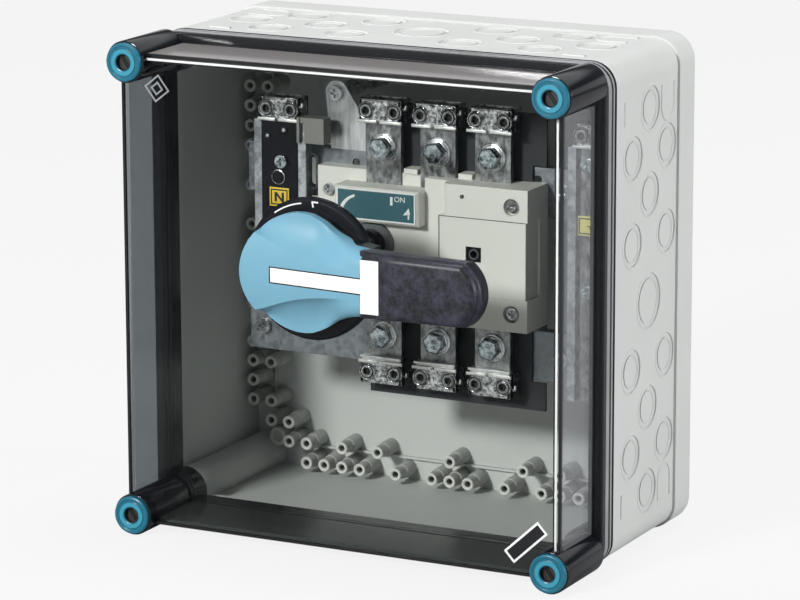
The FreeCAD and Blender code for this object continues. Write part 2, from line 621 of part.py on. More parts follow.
def contact_cover():
    """Deep right cover, with two proud zones that hold the cover screws."""
    left = RIGHT_BLOCK_LEFT
    right = SWITCH_RIGHT
    front = RIGHT_BLOCK_FRONT
    middle_left = LEFT_BLOCK[1]
    middle_front = front - RIGHT_BLOCK_STEP / 2
    plate = box(left, right, BAR_BACK, COVER_FRONT, SWITCH_LOW, SWITCH_HIGH)
    middle = box(middle_left, right - RIGHT_BLOCK_STEP, LEFT_BLOCK_FRONT, middle_front,
                 AXIS_Z - RIGHT_ZONE_REACH, AXIS_Z + RIGHT_ZONE_REACH)
    core = box(left, right - RIGHT_BLOCK_STEP, COVER_FRONT, middle_front,
               AXIS_Z - RIGHT_ZONE_REACH, AXIS_Z + RIGHT_ZONE_REACH)
    zones = []
    for z0, z1 in ((SWITCH_LOW, AXIS_Z - RIGHT_ZONE_REACH), (AXIS_Z + RIGHT_ZONE_REACH, SWITCH_HIGH)):
        zone = box(left, right, COVER_FRONT, front, z0, z1)
        zones.append(zone.makeChamfer(2.5, [e for e in zone.Edges if abs(e.BoundBox.YMax + front) < 0.01
                                            and e.BoundBox.XMax < left + 0.01]))
    body = fused([plate, middle, core] + zones)
    wall = SWITCH_WALL
    hollow = box(left + wall, right - RIGHT_BLOCK_STEP - wall, BAR_BACK, middle_front - COVER_SHEET,
                 SWITCH_LOW + wall, SWITCH_HIGH - wall)
    passage = box(left, left + wall, BAR_BACK, LEFT_BLOCK_FRONT - COVER_SHEET,
                  AXIS_Z - PASSAGE_REACH, AXIS_Z + PASSAGE_REACH)
    body = cut(body, [hollow, passage])
    posts = []
    for x, z in cover_screw_places(COVER_SCREWS_RIGHT):
        posts.append(box(x - 5.5, right - RIGHT_BLOCK_STEP, BAR_BACK, front - 2.0, z - 5.5, z + 5.5))
    body = fused([body] + posts)
    holes = [rod(47.6, AXIS_Z + 35.4, 1.3, front - 5.0, front)]
    for x, z in cover_screw_places(COVER_SCREWS_RIGHT):
        holes += [rod(x, z, 1.8, BAR_BACK, front), rod(x, z, COVER_SCREW_RADIUS + 1.5, front - 3.5, front)]
    tx, tz = TEST_CONTACT
    holes.append(box(tx - 5.0, tx + 5.0, front - 6.0, front, tz - 4.5, tz + 4.5))
    return cut(body, holes + bar_slots())


def cover_screws():
    screws = []
    for x, z in cover_screw_places(COVER_SCREWS_LEFT):
        screws.append(pan_screw(x, z, COVER_FRONT, COVER_SCREW_RADIUS, 2.2, 1.5, 7.0))
    for x, z in cover_screw_places(COVER_SCREWS_RIGHT):
        screws.append(pan_screw(x, z, RIGHT_BLOCK_FRONT - 3.5, COVER_SCREW_RADIUS, 2.4, 1.5, 21.0))
    return Part.makeCompound(screws)


def indicator_label():
    width, height = LABEL_SIZE
    x, z = LABEL_CENTRE
    return box(x - width / 2, x + width / 2, LABEL_BOX_FRONT, LABEL_BOX_FRONT + LABEL_SHEET,
               z - height / 2, z + height / 2)


def test_contact():
    """Black plug with a test pin hole, let into the right cover's window."""
    tx, tz = TEST_CONTACT
    front = RIGHT_BLOCK_FRONT - 1.5
    plug = box(tx - 5.0, tx + 5.0, front - 8.0, front, tz - 4.5, tz + 4.5)
    return cut(plug, [rod(tx, tz, 2.0, front - 5.0, front)])


def shaft_bearing():
    """Black flanged bush in the left cover that carries the operating shaft."""
    front = LEFT_BLOCK_FRONT
    back = front - COVER_SHEET
    flange = rod(AXIS_X, AXIS_Z, BEARING_RADIUS, front, front + BEARING_FLANGE)
    tip = front + BEARING_FLANGE
    flange = flange.makeChamfer(BEARING_CHAMFER, [e for e in flange.Edges if e.BoundBox.YMax < 0.01 - tip])
    neck = rod(AXIS_X, AXIS_Z, BEARING_NECK_RADIUS, back, front)
    bore = rod(AXIS_X, AXIS_Z, JOURNAL_RADIUS + JOURNAL_FIT, back, front + BEARING_FLANGE)
    return cut(fused([flange, neck]), [bore])


def shaft_collar():
    """Collar on the shaft in front of its bearing, with a clamping screw hole."""
    back = LEFT_BLOCK_FRONT + BEARING_FLANGE + 0.4
    collar = rod(AXIS_X, AXIS_Z, COLLAR_RADIUS, back, back + COLLAR_DEPTH)
    half = SHAFT_SQUARE / 2
    square = box(AXIS_X - half, AXIS_X + half, back, back + COLLAR_DEPTH, AXIS_Z - half, AXIS_Z + half)
    middle = V(AXIS_X, -(back + COLLAR_DEPTH / 2), AXIS_Z)
    screw_hole = Part.makeCylinder(1.5, COLLAR_RADIUS, middle, V(1, 0, 1))
    return cut(collar, [square, screw_hole])


def terminal_bar(x, side):
    """Flat copper bar: a contact finger inside the switch and a bolted, clamped end outside."""
    inner = FINGER_END
    shoulder = FINGER_ROOT
    finger = box(x - FINGER_WIDTH / 2, x + FINGER_WIDTH / 2, BAR_BACK, BAR_FRONT,
                 min(mirrored_z(inner, side), mirrored_z(shoulder, side)),
                 max(mirrored_z(inner, side), mirrored_z(shoulder, side)))
    outer = box(x - BAR_WIDTH / 2, x + BAR_WIDTH / 2, BAR_BACK, BAR_FRONT,
                min(mirrored_z(shoulder, side), mirrored_z(BAR_END_REACH, side)),
                max(mirrored_z(shoulder, side), mirrored_z(BAR_END_REACH, side)))
    hole = rod(x, mirrored_z(BOLT_REACH, side), BOLT_RADIUS + 0.2, BAR_BACK, BAR_FRONT)
    return cut(fused([finger, outer]), [hole])


def hexagon(x, z, flats, y0, y1):
    return outline(polygon_points(x, z, flats / math.sqrt(3), 6, 0.0), y0, y1)


def bolt_places():
    return [(x, mirrored_z(BOLT_REACH, side)) for side in (1, -1) for x in POLES]


def terminal_bolts():
    seat = BAR_FRONT + WASHER_DEPTH
    bolts = []
    for x, z in bolt_places():
        head = hexagon(x, z, BOLT_HEAD_FLATS, seat, seat + BOLT_HEAD_DEPTH)
        bolts.append(fused([head, rod(x, z, BOLT_RADIUS, BAR_BACK - NUT_DEPTH, seat)]))
    return Part.makeCompound(bolts)


def terminal_washers():
    return Part.makeCompound([cut(rod(x, z, WASHER_RADIUS, BAR_FRONT, BAR_FRONT + WASHER_DEPTH),
                                  [rod(x, z, BOLT_RADIUS + 0.1, BAR_FRONT, BAR_FRONT + WASHER_DEPTH)])
                              for x, z in bolt_places()])


def terminal_nuts():
    return Part.makeCompound([cut(hexagon(x, z, BOLT_HEAD_FLATS, BAR_BACK - NUT_DEPTH, BAR_BACK),
                                  [rod(x, z, BOLT_RADIUS + 0.1, BAR_BACK - NUT_DEPTH, BAR_BACK)])
                              for x, z in bolt_places()])


def clamp_frame(x, z, bar_width, bar_back):
    """Box clamp that hangs on a bar: the conductor goes in behind the bar and the screws bear on its front."""
    half = bar_width / 2 + BAR_SLOT_ROOM
    inner_front = bar_back + BAR_SHEET + BAR_SLOT_ROOM
    inner_back = bar_back - CLAMP_THROAT
    low = z - CLAMP_HEIGHT / 2
    high = z + CLAMP_HEIGHT / 2
    block = box(x - half - CLAMP_WALL, x + half + CLAMP_WALL, inner_back - CLAMP_REAR_WALL,
                inner_front + CLAMP_FRONT_WALL, low, high)
    throat = box(x - half, x + half, inner_back, inner_front, low, high)
    holes = [rod(sx, z, CLAMP_SCREW_RADIUS + 0.1, inner_front, inner_front + CLAMP_FRONT_WALL)
             for sx in clamp_screw_places(x, bar_width)]
    return cut(block, [throat] + holes)


def clamp_screw_places(x, bar_width):
    spread = bar_width / 2 - CLAMP_SCREW_SETBACK
    return [x - spread, x + spread]


def clamp_screw_pair(x, z, bar_width, bar_back):
    """Two clamping screws with hexagon sockets, their tips on the bar."""
    tip = bar_back + BAR_SHEET
    seat = tip + BAR_SLOT_ROOM + CLAMP_FRONT_WALL
    front = seat + CLAMP_SCREW_PROUD
    screws = []
    for sx in clamp_screw_places(x, bar_width):
        screw = fused([rod(sx, z, CLAMP_SCREW_HEAD, seat, front), rod(sx, z, CLAMP_SCREW_RADIUS, tip, seat)])
        screws.append(cut(screw, [hexagon(sx, z, CLAMP_SCREW_HEAD, seat - 2.0, front)]))
    return screws


def clamp_places():
    return [(x, mirrored_z(CLAMP_REACH, side)) for side in (1, -1) for x in POLES]


def clamp_frames(side):
    z = mirrored_z(CLAMP_REACH, side)
    return Part.makeCompound([clamp_frame(x, z, BAR_WIDTH, BAR_BACK) for x in POLES])


def clamp_screws():
    screws = []
    for x, z in clamp_places():
        screws += clamp_screw_pair(x, z, BAR_WIDTH, BAR_BACK)
    return Part.makeCompound(screws)


def side_channel(x, bottom):
    """Top-hat rail, set upright on the rails, that carries the neutral or the earth terminal."""
    front = RAIL_FRONT + CHANNEL_DEPTH
    half = CHANNEL_WIDTH / 2
    body = CHANNEL_BODY / 2
    sheet = CHANNEL_SHEET
    parts = [box(x - body, x + body, RAIL_FRONT, RAIL_FRONT + sheet, bottom, CHANNEL_TOP)]
    for side in (-1, 1):
        wall = sorted((x + side * body, x + side * (body - sheet)))
        flange = sorted((x + side * half, x + side * (body - sheet)))
        parts.append(box(wall[0], wall[1], RAIL_FRONT, front, bottom, CHANNEL_TOP))
        parts.append(box(flange[0], flange[1], front - sheet, front, bottom, CHANNEL_TOP))
    return fused(parts)


def side_bar_back():
    return RAIL_FRONT + CHANNEL_SHEET + SPACER_DEPTH


def side_clamp_z():
    return CHANNEL_TOP + SIDE_CLAMP_GAP + CLAMP_HEIGHT / 2


def side_insert(x, bottom, y0, y1, screws):
    """Plate that fills the top-hat rail from side to side, with clear holes for the screws."""
    half = CHANNEL_BODY / 2 - CHANNEL_SHEET - BAR_SLOT_ROOM
    plate = box(x - half, x + half, y0, y1, bottom, CHANNEL_TOP - SPACER_MARGIN)
    return cut(plate, [rod(x + sx, z, 2.5, y0, y1) for sx, z in screws])


def side_spacer(x, bottom, screws):
    """Moulded spacer between the top-hat rail and its bar."""
    return side_insert(x, bottom, RAIL_FRONT + CHANNEL_SHEET, side_bar_back(), screws)


def side_bar(x, bottom, screws):
    half = SIDE_BAR_WIDTH / 2
    back = side_bar_back()
    front = back + BAR_SHEET
    top = side_clamp_z() + CLAMP_HEIGHT / 2 - BAR_TIP_SETBACK
    bar = box(x - half, x + half, back, front, bottom, top)
    return cut(bar, [rod(x + sx, z, 2.5, back, front) for sx, z in screws])


def neutral_cover():
    """Black moulded cover over the neutral bar, level with the rail's flanges."""
    back = side_bar_back() + BAR_SHEET
    return side_insert(NEUTRAL_X, NEUTRAL_CHANNEL_BOTTOM, back, back + SIDE_COVER_DEPTH, NEUTRAL_SCREWS)


def side_screws(x, seat, screws):
    return Part.makeCompound([pan_screw(x + sx, z, seat, 4.0, 2.6, 2.4, SIDE_SCREW_LENGTH)
                              for sx, z in screws])


def side_clamp_screws(x):
    return Part.makeCompound(clamp_screw_pair(x, side_clamp_z(), SIDE_BAR_WIDTH, side_bar_back()))


def side_label(x, seat):
    width, height = SIDE_LABEL
    return box(x - width / 2, x + width / 2, seat, seat + SIDE_LABEL_SHEET, SIDE_LABEL_Z - height / 2,
               SIDE_LABEL_Z + height / 2)


def neutral_clip():
    """Plastic end clip that hooks over the top end of the neutral rail's right flange."""
    edge = NEUTRAL_X + CHANNEL_WIDTH / 2
    wall = NEUTRAL_X + CHANNEL_BODY / 2
    flange_front = RAIL_FRONT + CHANNEL_DEPTH
    flange_back = flange_front - CHANNEL_SHEET
    clamp_side = NEUTRAL_X + SIDE_BAR_WIDTH / 2 + BAR_SLOT_ROOM + CLAMP_WALL + CLIP_GAP
    back = flange_back - 5.5
    right = edge + CLIP_RIGHT
    block = box(edge + CLIP_GAP, right, back, CLIP_FRONT - 1.0, CLIP_BOTTOM, CLIP_TOP)
    behind = box(wall + CLIP_GAP, edge + CLIP_GAP, back, flange_back, CLIP_BOTTOM, CHANNEL_TOP)
    bridge = box(clamp_side, right, back, CLIP_FRONT - 1.0, CHANNEL_TOP, CLIP_TOP)
    finger = box(clamp_side, edge - 2.6, flange_front, CLIP_FRONT, CLIP_BOTTOM, CLIP_TOP)
    return fused([block, behind, bridge, finger])


def involute_point(radius, half_thickness_angle):
    """Angle of a tooth flank at a radius, seen from the tooth's middle."""
    base = PITCH_RADIUS * math.cos(PRESSURE_ANGLE)
    pitch_involute = math.tan(PRESSURE_ANGLE) - PRESSURE_ANGLE
    if radius <= base:
        return half_thickness_angle + pitch_involute
    angle = math.acos(base / radius)
    return half_thickness_angle + pitch_involute - (math.tan(angle) - angle)


def pinion(y0, y1):
    root = PITCH_RADIUS - RACK_ADDENDUM - 0.4
    tip = PITCH_RADIUS + PINION_ADDENDUM
    half_angle = (math.pi / PINION_TEETH - BACKLASH / PITCH_RADIUS) / 2
    base = PITCH_RADIUS * math.cos(PRESSURE_ANGLE)
    radii = [root] + [base + (tip - base) * k / 3 for k in range(4)]
    points = []
    for tooth in range(PINION_TEETH):
        middle = -math.pi / 2 + 2 * math.pi * tooth / PINION_TEETH
        flank = [(r, involute_point(r, half_angle)) for r in radii]
        turned = [(r, middle - a) for r, a in flank] + [(r, middle + a) for r, a in reversed(flank)]
        points += [(AXIS_X + r * math.cos(a), AXIS_Z + r * math.sin(a)) for r, a in turned]
    return outline(points, y0, y1)


def operating_shaft():
    """Square shaft with a round journal and the pinion that drives the contact carrier."""
    pinion_back = CARRIER_BACK + CONTACT_GAP
    pinion_front = CARRIER_FRONT + 0.2
    journal_front = LEFT_BLOCK_FRONT + BEARING_FLANGE + 0.4
    half = SHAFT_SQUARE / 2
    square = box(AXIS_X - half, AXIS_X + half, journal_front, SHAFT_TIP, AXIS_Z - half, AXIS_Z + half)
    edges = [e for e in square.Edges if abs(e.BoundBox.YLength) < 0.01 and e.BoundBox.YMin < -SHAFT_TIP + 0.1]
    square = square.makeChamfer(0.8, edges)
    journal = rod(AXIS_X, AXIS_Z, JOURNAL_RADIUS, pinion_front, journal_front)
    return fused([square, journal, pinion(pinion_back, pinion_front)])


def contact_carrier():
    """Sliding carrier with the rack under the pinion and arms behind the second and third poles."""
    tip = AXIS_Z - PITCH_RADIUS + RACK_ADDENDUM
    root = RACK_ROOT_Z
    half_gap = (TOOTH_PITCH - BACKLASH) / 4
    slope = math.tan(PRESSURE_ANGLE)
    parts = [box(CARRIER_LEFT, CARRIER_RIGHT, CARRIER_BACK, CARRIER_FRONT, CARRIER_FOOT_Z, root)]
    for i in range(RACK_TEETH):
        x = AXIS_X + TOOTH_PITCH / 2 + TOOTH_PITCH * (1 - i)
        low_half = half_gap + RACK_DEDENDUM * slope
        top_half = half_gap - RACK_ADDENDUM * slope
        parts.append(outline([(x - low_half, root - 0.5), (x + low_half, root - 0.5), (x + low_half, root),
                              (x + top_half, tip), (x - top_half, tip), (x - low_half, root)],
                             CARRIER_BACK, CARRIER_FRONT))
    for x in POLES[1:]:
        half = FINGER_WIDTH / 2
        parts.append(box(x - half, x + half, CARRIER_BACK, CARRIER_FRONT, CARRIER_FOOT_Z,
                         AXIS_Z + BLADE_REACH - 4.0))
    return fused(parts)


def moving_contacts():
    """Three copper blades on the carrier that bridge the line and load fingers."""
    half = FINGER_WIDTH / 2
    return Part.makeCompound([box(x - half, x + half, BLADE_BACK, CARRIER_BACK,
                                  AXIS_Z - BLADE_REACH, AXIS_Z + BLADE_REACH) for x in POLES])


def seal_ring(room):
    """Ring between the escutcheon and the pane, smaller than its groove by the given room."""
    inner, outer = SEAL_GROOVE
    front = PANE_FRONT + SEAL_DEPTH
    return cut(rod(AXIS_X, AXIS_Z, outer - room, PANE_FRONT, front),
               [rod(AXIS_X, AXIS_Z, inner + room, PANE_FRONT, front)])


def escutcheon():
    """Black disc on the pane with the bush that carries the handle."""
    front = PANE_FRONT + ESCUTCHEON_DEPTH
    disc = rod(AXIS_X, AXIS_Z, ESCUTCHEON_RADIUS, PANE_FRONT, front)
    disc = disc.makeChamfer(1.6, [e for e in disc.Edges if e.BoundBox.YMax < -front + 0.01])
    bush = rod(AXIS_X, AXIS_Z, BUSH_RADIUS - 0.1, PANE_FRONT - BUSH_LENGTH, PANE_FRONT)
    bore = rod(AXIS_X, AXIS_Z, SPINDLE_RADIUS + SPINDLE_FIT, PANE_FRONT - BUSH_LENGTH, front)
    groove = seal_ring(0.0)
    return cut(fused([disc, bush]), [bore, groove])


def escutcheon_nut():
    back = PANE_FRONT - PANE
    nut = hexagon(AXIS_X, AXIS_Z, 36.0, back - 4.0, back)
    return cut(nut, [rod(AXIS_X, AXIS_Z, BUSH_RADIUS, back - 4.0, back)])


def shaft_seal():
    return seal_ring(SEAL_ROOM)


def handle_place(points):
    """Points given from the handle's axis, moved to the axis."""
    return [(AXIS_X + x, AXIS_Z + z) for x, z in points]


def handle_core():
    """Black base of the handle with the spindle that takes the square shaft."""
    front = HUB_REAR
    back = PANE_FRONT + ESCUTCHEON_DEPTH + HANDLE_GAP
    disc = rod(AXIS_X, AXIS_Z, HUB_BASE_RADIUS - 0.6, back, front)
    boss = rod(AXIS_X, AXIS_Z, SPINDLE_RADIUS + 2.0, front, HUB_FRONT - 6.0)
    spindle = rod(AXIS_X, AXIS_Z, SPINDLE_RADIUS, PANE_FRONT - BUSH_LENGTH - 2.0, back)
    half = SHAFT_SQUARE / 2 + SOCKET_CLEARANCE
    socket = box(AXIS_X - half, AXIS_X + half, PANE_FRONT - BUSH_LENGTH - 2.0, SHAFT_TIP + 1.0,
                 AXIS_Z - half, AXIS_Z + half)
    return cut(fused([disc, boss, spindle]), [socket])


def hub_outline(radius, neck, y0, y1):
    """Round hub with a neck that runs towards the grip."""
    disc = rod(AXIS_X, AXIS_Z, radius, y0, y1)
    touch = radius * 0.55
    reach = math.sqrt(radius * radius - touch * touch)
    points = [(touch, reach), (NECK_END, neck), (NECK_END, -neck), (touch, -reach)]
    return fused([disc, outline(handle_place(points), y0, y1)])


def scoop(side):
    """Cylinder that hollows one flank of the hub between its front edge and its base."""
    x0, z0 = SCOOP_START
    x1, z1 = SCOOP_END
    length = math.hypot(x1 - x0, z1 - z0)
    along = ((x1 - x0) / length, (z1 - z0) / length)
    out = (-along[1], along[0])
    offset = 0.96 * SCOOP_RADIUS
    lift = math.sqrt(SCOOP_RADIUS ** 2 - offset ** 2)
    cx = x0 + out[0] * offset - along[0] * SCOOP_OVERRUN
    cz = z0 + out[1] * offset - along[1] * SCOOP_OVERRUN
    start = V(AXIS_X + cx, -(HUB_FRONT + lift), AXIS_Z + side * cz)
    return Part.makeCylinder(SCOOP_RADIUS, length + 2 * SCOOP_OVERRUN, start, V(along[0], 0, side * along[1]))


def handle_hub():
    """Blue moulding over the core: a tapered round hub, a neck and two hollowed flanks."""
    lower = hub_outline(HUB_BASE_RADIUS, NECK_HALF, HUB_REAR, HUB_FRONT)
    flare = Part.makeCone(HUB_BASE_RADIUS, HUB_FRONT_RADIUS, HUB_FRONT - HUB_REAR,
                          V(AXIS_X, -HUB_REAR, AXIS_Z), V(0, -1, 0))
    neck = outline(handle_place([(10.0, NECK_HALF + 7.0), (NECK_END, NECK_HALF - 2.0),
                                 (NECK_END, 2.0 - NECK_HALF), (10.0, -NECK_HALF - 7.0)]), HUB_REAR, HUB_FRONT)
    body = fused([flare, neck]).common(lower)
    body = cut(body, [scoop(1), scoop(-1)])
    pocket = rod(AXIS_X, AXIS_Z, SPINDLE_RADIUS + 2.1, HUB_REAR, HUB_FRONT - 6.0)
    bar = box(AXIS_X + POINTER_LEFT - 0.05, AXIS_X + NECK_END, HUB_FRONT - INLAY_DEPTH, HUB_FRONT,
              AXIS_Z - POINTER_WIDTH / 2 - 0.05, AXIS_Z + POINTER_WIDTH / 2 + 0.05)
    return cut(body, [pocket, bar])


def handle_grip():
    """Black grip that continues the neck, rounded along its edges and at its tip."""
    x0 = NECK_END + 0.1
    y_mid = -(GRIP_REAR + HUB_FRONT) / 2
    half_depth = (HUB_FRONT - GRIP_REAR) / 2
    bar = box(AXIS_X + x0, AXIS_X + GRIP_END, GRIP_REAR, HUB_FRONT, AXIS_Z - GRIP_HALF, AXIS_Z + GRIP_HALF)
    long_edges = [e for e in bar.Edges if e.BoundBox.XLength > 10.0]
    bar = bar.makeFillet(GRIP_ROUND, long_edges)
    tip = rod(AXIS_X + GRIP_END - GRIP_TIP_RADIUS, AXIS_Z, GRIP_TIP_RADIUS, GRIP_REAR, HUB_FRONT)
    tip = tip.makeFillet(GRIP_ROUND * 0.6, [e for e in tip.Edges if e.BoundBox.YLength < 0.01])
    straight = box(AXIS_X + x0, AXIS_X + GRIP_END - GRIP_TIP_RADIUS, GRIP_REAR, HUB_FRONT,
                   AXIS_Z - GRIP_TIP_RADIUS, AXIS_Z + GRIP_TIP_RADIUS)
    bar = bar.common(fused([tip, straight]))
    bx = AXIS_X + x0 + 0.4
    pocket = box(bx - 0.05, bx + BAND_WIDTH + 0.05, HUB_FRONT - INLAY_DEPTH, HUB_FRONT,
                 AXIS_Z - BAND_HALF - 0.05, AXIS_Z + BAND_HALF + 0.05)
    lead = box(AXIS_X + x0, bx, HUB_FRONT - INLAY_DEPTH, HUB_FRONT, AXIS_Z - POINTER_WIDTH / 2 - 0.05,
               AXIS_Z + POINTER_WIDTH / 2 + 0.05)
    return cut(bar, [pocket, lead])


def pointer_inlay():
    """White T that points along the grip."""
    back = HUB_FRONT - INLAY_DEPTH
    bx = AXIS_X + NECK_END + 0.5
    bar = box(AXIS_X + POINTER_LEFT, bx, back, HUB_FRONT,
              AXIS_Z - POINTER_WIDTH / 2, AXIS_Z + POINTER_WIDTH / 2)
    band = box(bx, bx + BAND_WIDTH, back, HUB_FRONT, AXIS_Z - BAND_HALF, AXIS_Z + BAND_HALF)
    return fused([bar, band])


def save_enclosure():
    save("enclosure_base", enclosure_base())
    save("fixing_bosses", Part.makeCompound([fixing_boss(x, z) for x, z in boss_places()]))
    save("enclosure_lid", enclosure_lid())
    save("lid_gasket", lid_gasket())
    names = {(-1, 1): "top_left", (1, 1): "top_right", (-1, -1): "bottom_left", (1, -1): "bottom_right"}
    for (sx, sz), name in names.items():
        save("lid_screw_" + name, lid_screw(sx * SCREW_HALF_SPACING, sz * SCREW_HALF_SPACING))


def save_rails():
    upper, lower = RAIL_SCREW_HEIGHTS
    spare = [rail_hole(x, upper + RAIL_SPARE_RISE) for x in RAIL_SPARE_HOLES]
    save("rail_upper", rail(RAIL_UPPER_Z, [rail_hole(sx * PILLAR_X, upper) for sx in (-1, 1)] + spare
                            + [rail_slot()]))
    save("rail_lower", rail(RAIL_LOWER_Z, [rail_hole(sx * PILLAR_X, lower) for sx in (-1, 1)]))
    save("rail_pillars", rail_pillars())
    save("rail_screws", rail_screws())
    save("rail_stay", rail_stay())
    save("insulating_plate", insulating_plate())


def save_switch():
    save("switch_tray", switch_tray())
    save("mechanism_cover", mechanism_cover())
    save("contact_cover", contact_cover())
    save("cover_screws", cover_screws())
    save("indicator_label", indicator_label())
    save("test_contact", test_contact())
    save("shaft_bearing", shaft_bearing())
    save("shaft_collar", shaft_collar())
    for number, x in enumerate(POLES, 1):
        save("line_bar_%d" % number, terminal_bar(x, 1))
        save("load_bar_%d" % number, terminal_bar(x, -1))
    save("terminal_bolts", terminal_bolts())
    save("terminal_washers", terminal_washers())
    save("terminal_nuts", terminal_nuts())
    save("line_clamp_frames", clamp_frames(1))
    save("load_clamp_frames", clamp_frames(-1))
    save("clamp_screws", clamp_screws())
    save("operating_shaft", operating_shaft())
    save("contact_carrier", contact_carrier())
    save("moving_contacts", moving_contacts())


def save_side_terminal(name, x, bottom, seat, screws):
    save(name + "_channel", side_channel(x, bottom))
    save(name + "_spacer", side_spacer(x, bottom, screws))
    save(name + "_bar", side_bar(x, bottom, screws))
    save(name + "_clamp", clamp_frame(x, side_clamp_z(), SIDE_BAR_WIDTH, side_bar_back()))
    save(name + "_clamp_screw", side_clamp_screws(x))
    save(name + "_screws", side_screws(x, seat, screws))
    save(name + "_label", side_label(x, seat))


def save_side_terminals():
    bar_front = side_bar_back() + BAR_SHEET
    cover_front = bar_front + SIDE_COVER_DEPTH
    save_side_terminal("neutral", NEUTRAL_X, NEUTRAL_CHANNEL_BOTTOM, cover_front, NEUTRAL_SCREWS)
    save_side_terminal("earth", EARTH_X, EARTH_CHANNEL_BOTTOM, bar_front, EARTH_SCREWS)
    save("neutral_cover", neutral_cover())
    save("neutral_clip", neutral_clip())


def save_handle():
    save("escutcheon", escutcheon())
    save("escutcheon_nut", escutcheon_nut())
    save("shaft_seal", shaft_seal())
    save("handle_core", handle_core())
    save("handle_hub", handle_hub())
    save("handle_grip", handle_grip())
    save("pointer_inlay", pointer_inlay())


save_enclosure()
save_rails()
save_switch()
save_side_terminals()
save_handle()
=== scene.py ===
import math

import bmesh
import bpy
from mathutils import Matrix, Vector


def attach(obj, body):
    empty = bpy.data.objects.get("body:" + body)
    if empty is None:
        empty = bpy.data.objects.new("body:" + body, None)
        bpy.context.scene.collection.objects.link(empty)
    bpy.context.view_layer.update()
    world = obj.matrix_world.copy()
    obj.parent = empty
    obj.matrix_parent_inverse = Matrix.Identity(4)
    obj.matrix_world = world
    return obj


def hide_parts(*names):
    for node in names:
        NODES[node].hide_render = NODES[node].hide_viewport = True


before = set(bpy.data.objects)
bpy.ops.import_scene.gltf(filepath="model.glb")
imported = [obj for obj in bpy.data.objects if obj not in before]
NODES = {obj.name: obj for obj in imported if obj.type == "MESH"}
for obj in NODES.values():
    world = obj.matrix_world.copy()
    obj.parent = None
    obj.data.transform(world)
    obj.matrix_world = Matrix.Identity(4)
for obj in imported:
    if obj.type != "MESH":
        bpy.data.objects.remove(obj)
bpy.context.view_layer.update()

MM = 0.001

# Sizes of the CAD parts, in millimetres. x runs to the right and z up from the enclosure's
# centre, and depth runs from the wall to the front.
HALF = 148.5  # side walls
HALF_RIM = 150.0  # back rim, on which the enclosure stands
BACK_WALL = 4.0
WALL_HOLE = 125.0
GRID = 12.5  # of the fixing bosses
BOSS_TOP = 25.0
BASE_DEPTH = 110.0  # back of the lid's flange
FLANGE_STEP = 121.0
FLANGE_FRONT = 126.0
LID_CORNER = 15.0
LID_HALF = 142.5
LID_INNER = 139.5
LID_BITE = 14.5
GROOVE_OUTER = (146.0, 9.5)
GROOVE_INNER = (143.0, 12.5)
PANE_BACK = 167.0
PANE_FRONT = 170.0
PANE_HOLE = 13.0
SCREW_HALF = 137.5  # lid screws
SCREW_BORE = 4.05
TUBE_RADIUS = 12.5
TUBE_BORE = 11.9
TUBE_FLOOR = 171.0
TUBE_FRONT = 174.5
HEAD_FRONT = 177.0
AXIS_X = -15.0  # handle's axis
AXIS_Z = 25.3
POLES = (-12.0, 24.0, 60.0)
BAR_WIDTH = 23.0
BAR_FRONT = 88.0
BOLT_REACH = 57.3  # from the axis to the terminals' bolts
BOLT_ANGLE = 11.0
CLAMP_REACH = 79.5
CLAMP_BACK = 78.3
CLAMP_FLOOR = 79.8
CLAMP_FRONT = 92.5
CLAMP_HALF = 7.0
CLAMP_WALL = 2.2
SIDE_CLAMP_Z = 100.8  # clamps of the neutral and earth bars
SIDE_CLAMP_WIDTH = 21.0
NEUTRAL_X = -80.4
EARTH_X = 127.0
PLATE_Z = 47.0  # yellow plates
PLATE_WIDTH = 13.2
EARTH_PLATE_WIDTH = 18.8
INDICATOR_X = -8.8
INDICATOR_Z = 50.4
INDICATOR_WIDTH = 52.3
INDICATOR_HEIGHT = 18.6

CORNERS = ((-1, -1), (-1, 1), (1, -1), (1, 1))
CORNERS_ROUND = ((1, 1), (-1, 1), (-1, -1), (1, -1))
SIDE_WALLS = (0, 90, 180, 270)

# Cable entries: rows by depth, with their places along the wall. The middle one is larger.
KNOCKOUTS = ((86.0, (-89.0, -37.5, 37.5, 89.0)),
             (61.5, (-115.0, -64.0, 0.0, 64.0, 115.0)),
             (37.0, (-89.0, -37.5, 37.5, 89.0)))
MIDDLE_GROWS = 3.6

# Sections of the turned forms, as (radius, depth)
SCREW_PROFILE = ((0.0, 78.5), (2.2, 78.5), (4.0, 81.5), (4.0, 171.0), (11.2, 171.0), (11.6, 171.4),
                 (11.6, 175.8), (11.3, 176.6), (10.6, HEAD_FRONT), (9.6, 176.9), (9.3, 176.55),
                 (8.3, 176.5), (8.0, 176.9), (5.4, 176.9), (4.9, 176.6), (4.7, 176.0),
                 (4.7, 173.5), (0.0, 173.5))
SCREW_RING_PROFILE = ((5.5, 176.7), (5.5, HEAD_FRONT), (7.9, HEAD_FRONT), (7.9, 176.7),
                      (5.5, 176.7))
SCREW_SOCKET_PROFILE = ((4.68, 176.2), (4.68, 173.6), (0.0, 173.6))
TUBE_PROFILE = ((SCREW_BORE, FLANGE_FRONT), (TUBE_RADIUS, FLANGE_FRONT),
                (TUBE_RADIUS, TUBE_FRONT - 0.5), (TUBE_RADIUS - 0.15, TUBE_FRONT - 0.15),
                (TUBE_RADIUS - 0.5, TUBE_FRONT), (TUBE_BORE, TUBE_FRONT), (TUBE_BORE, TUBE_FLOOR),
                (SCREW_BORE, TUBE_FLOOR), (SCREW_BORE, FLANGE_FRONT))
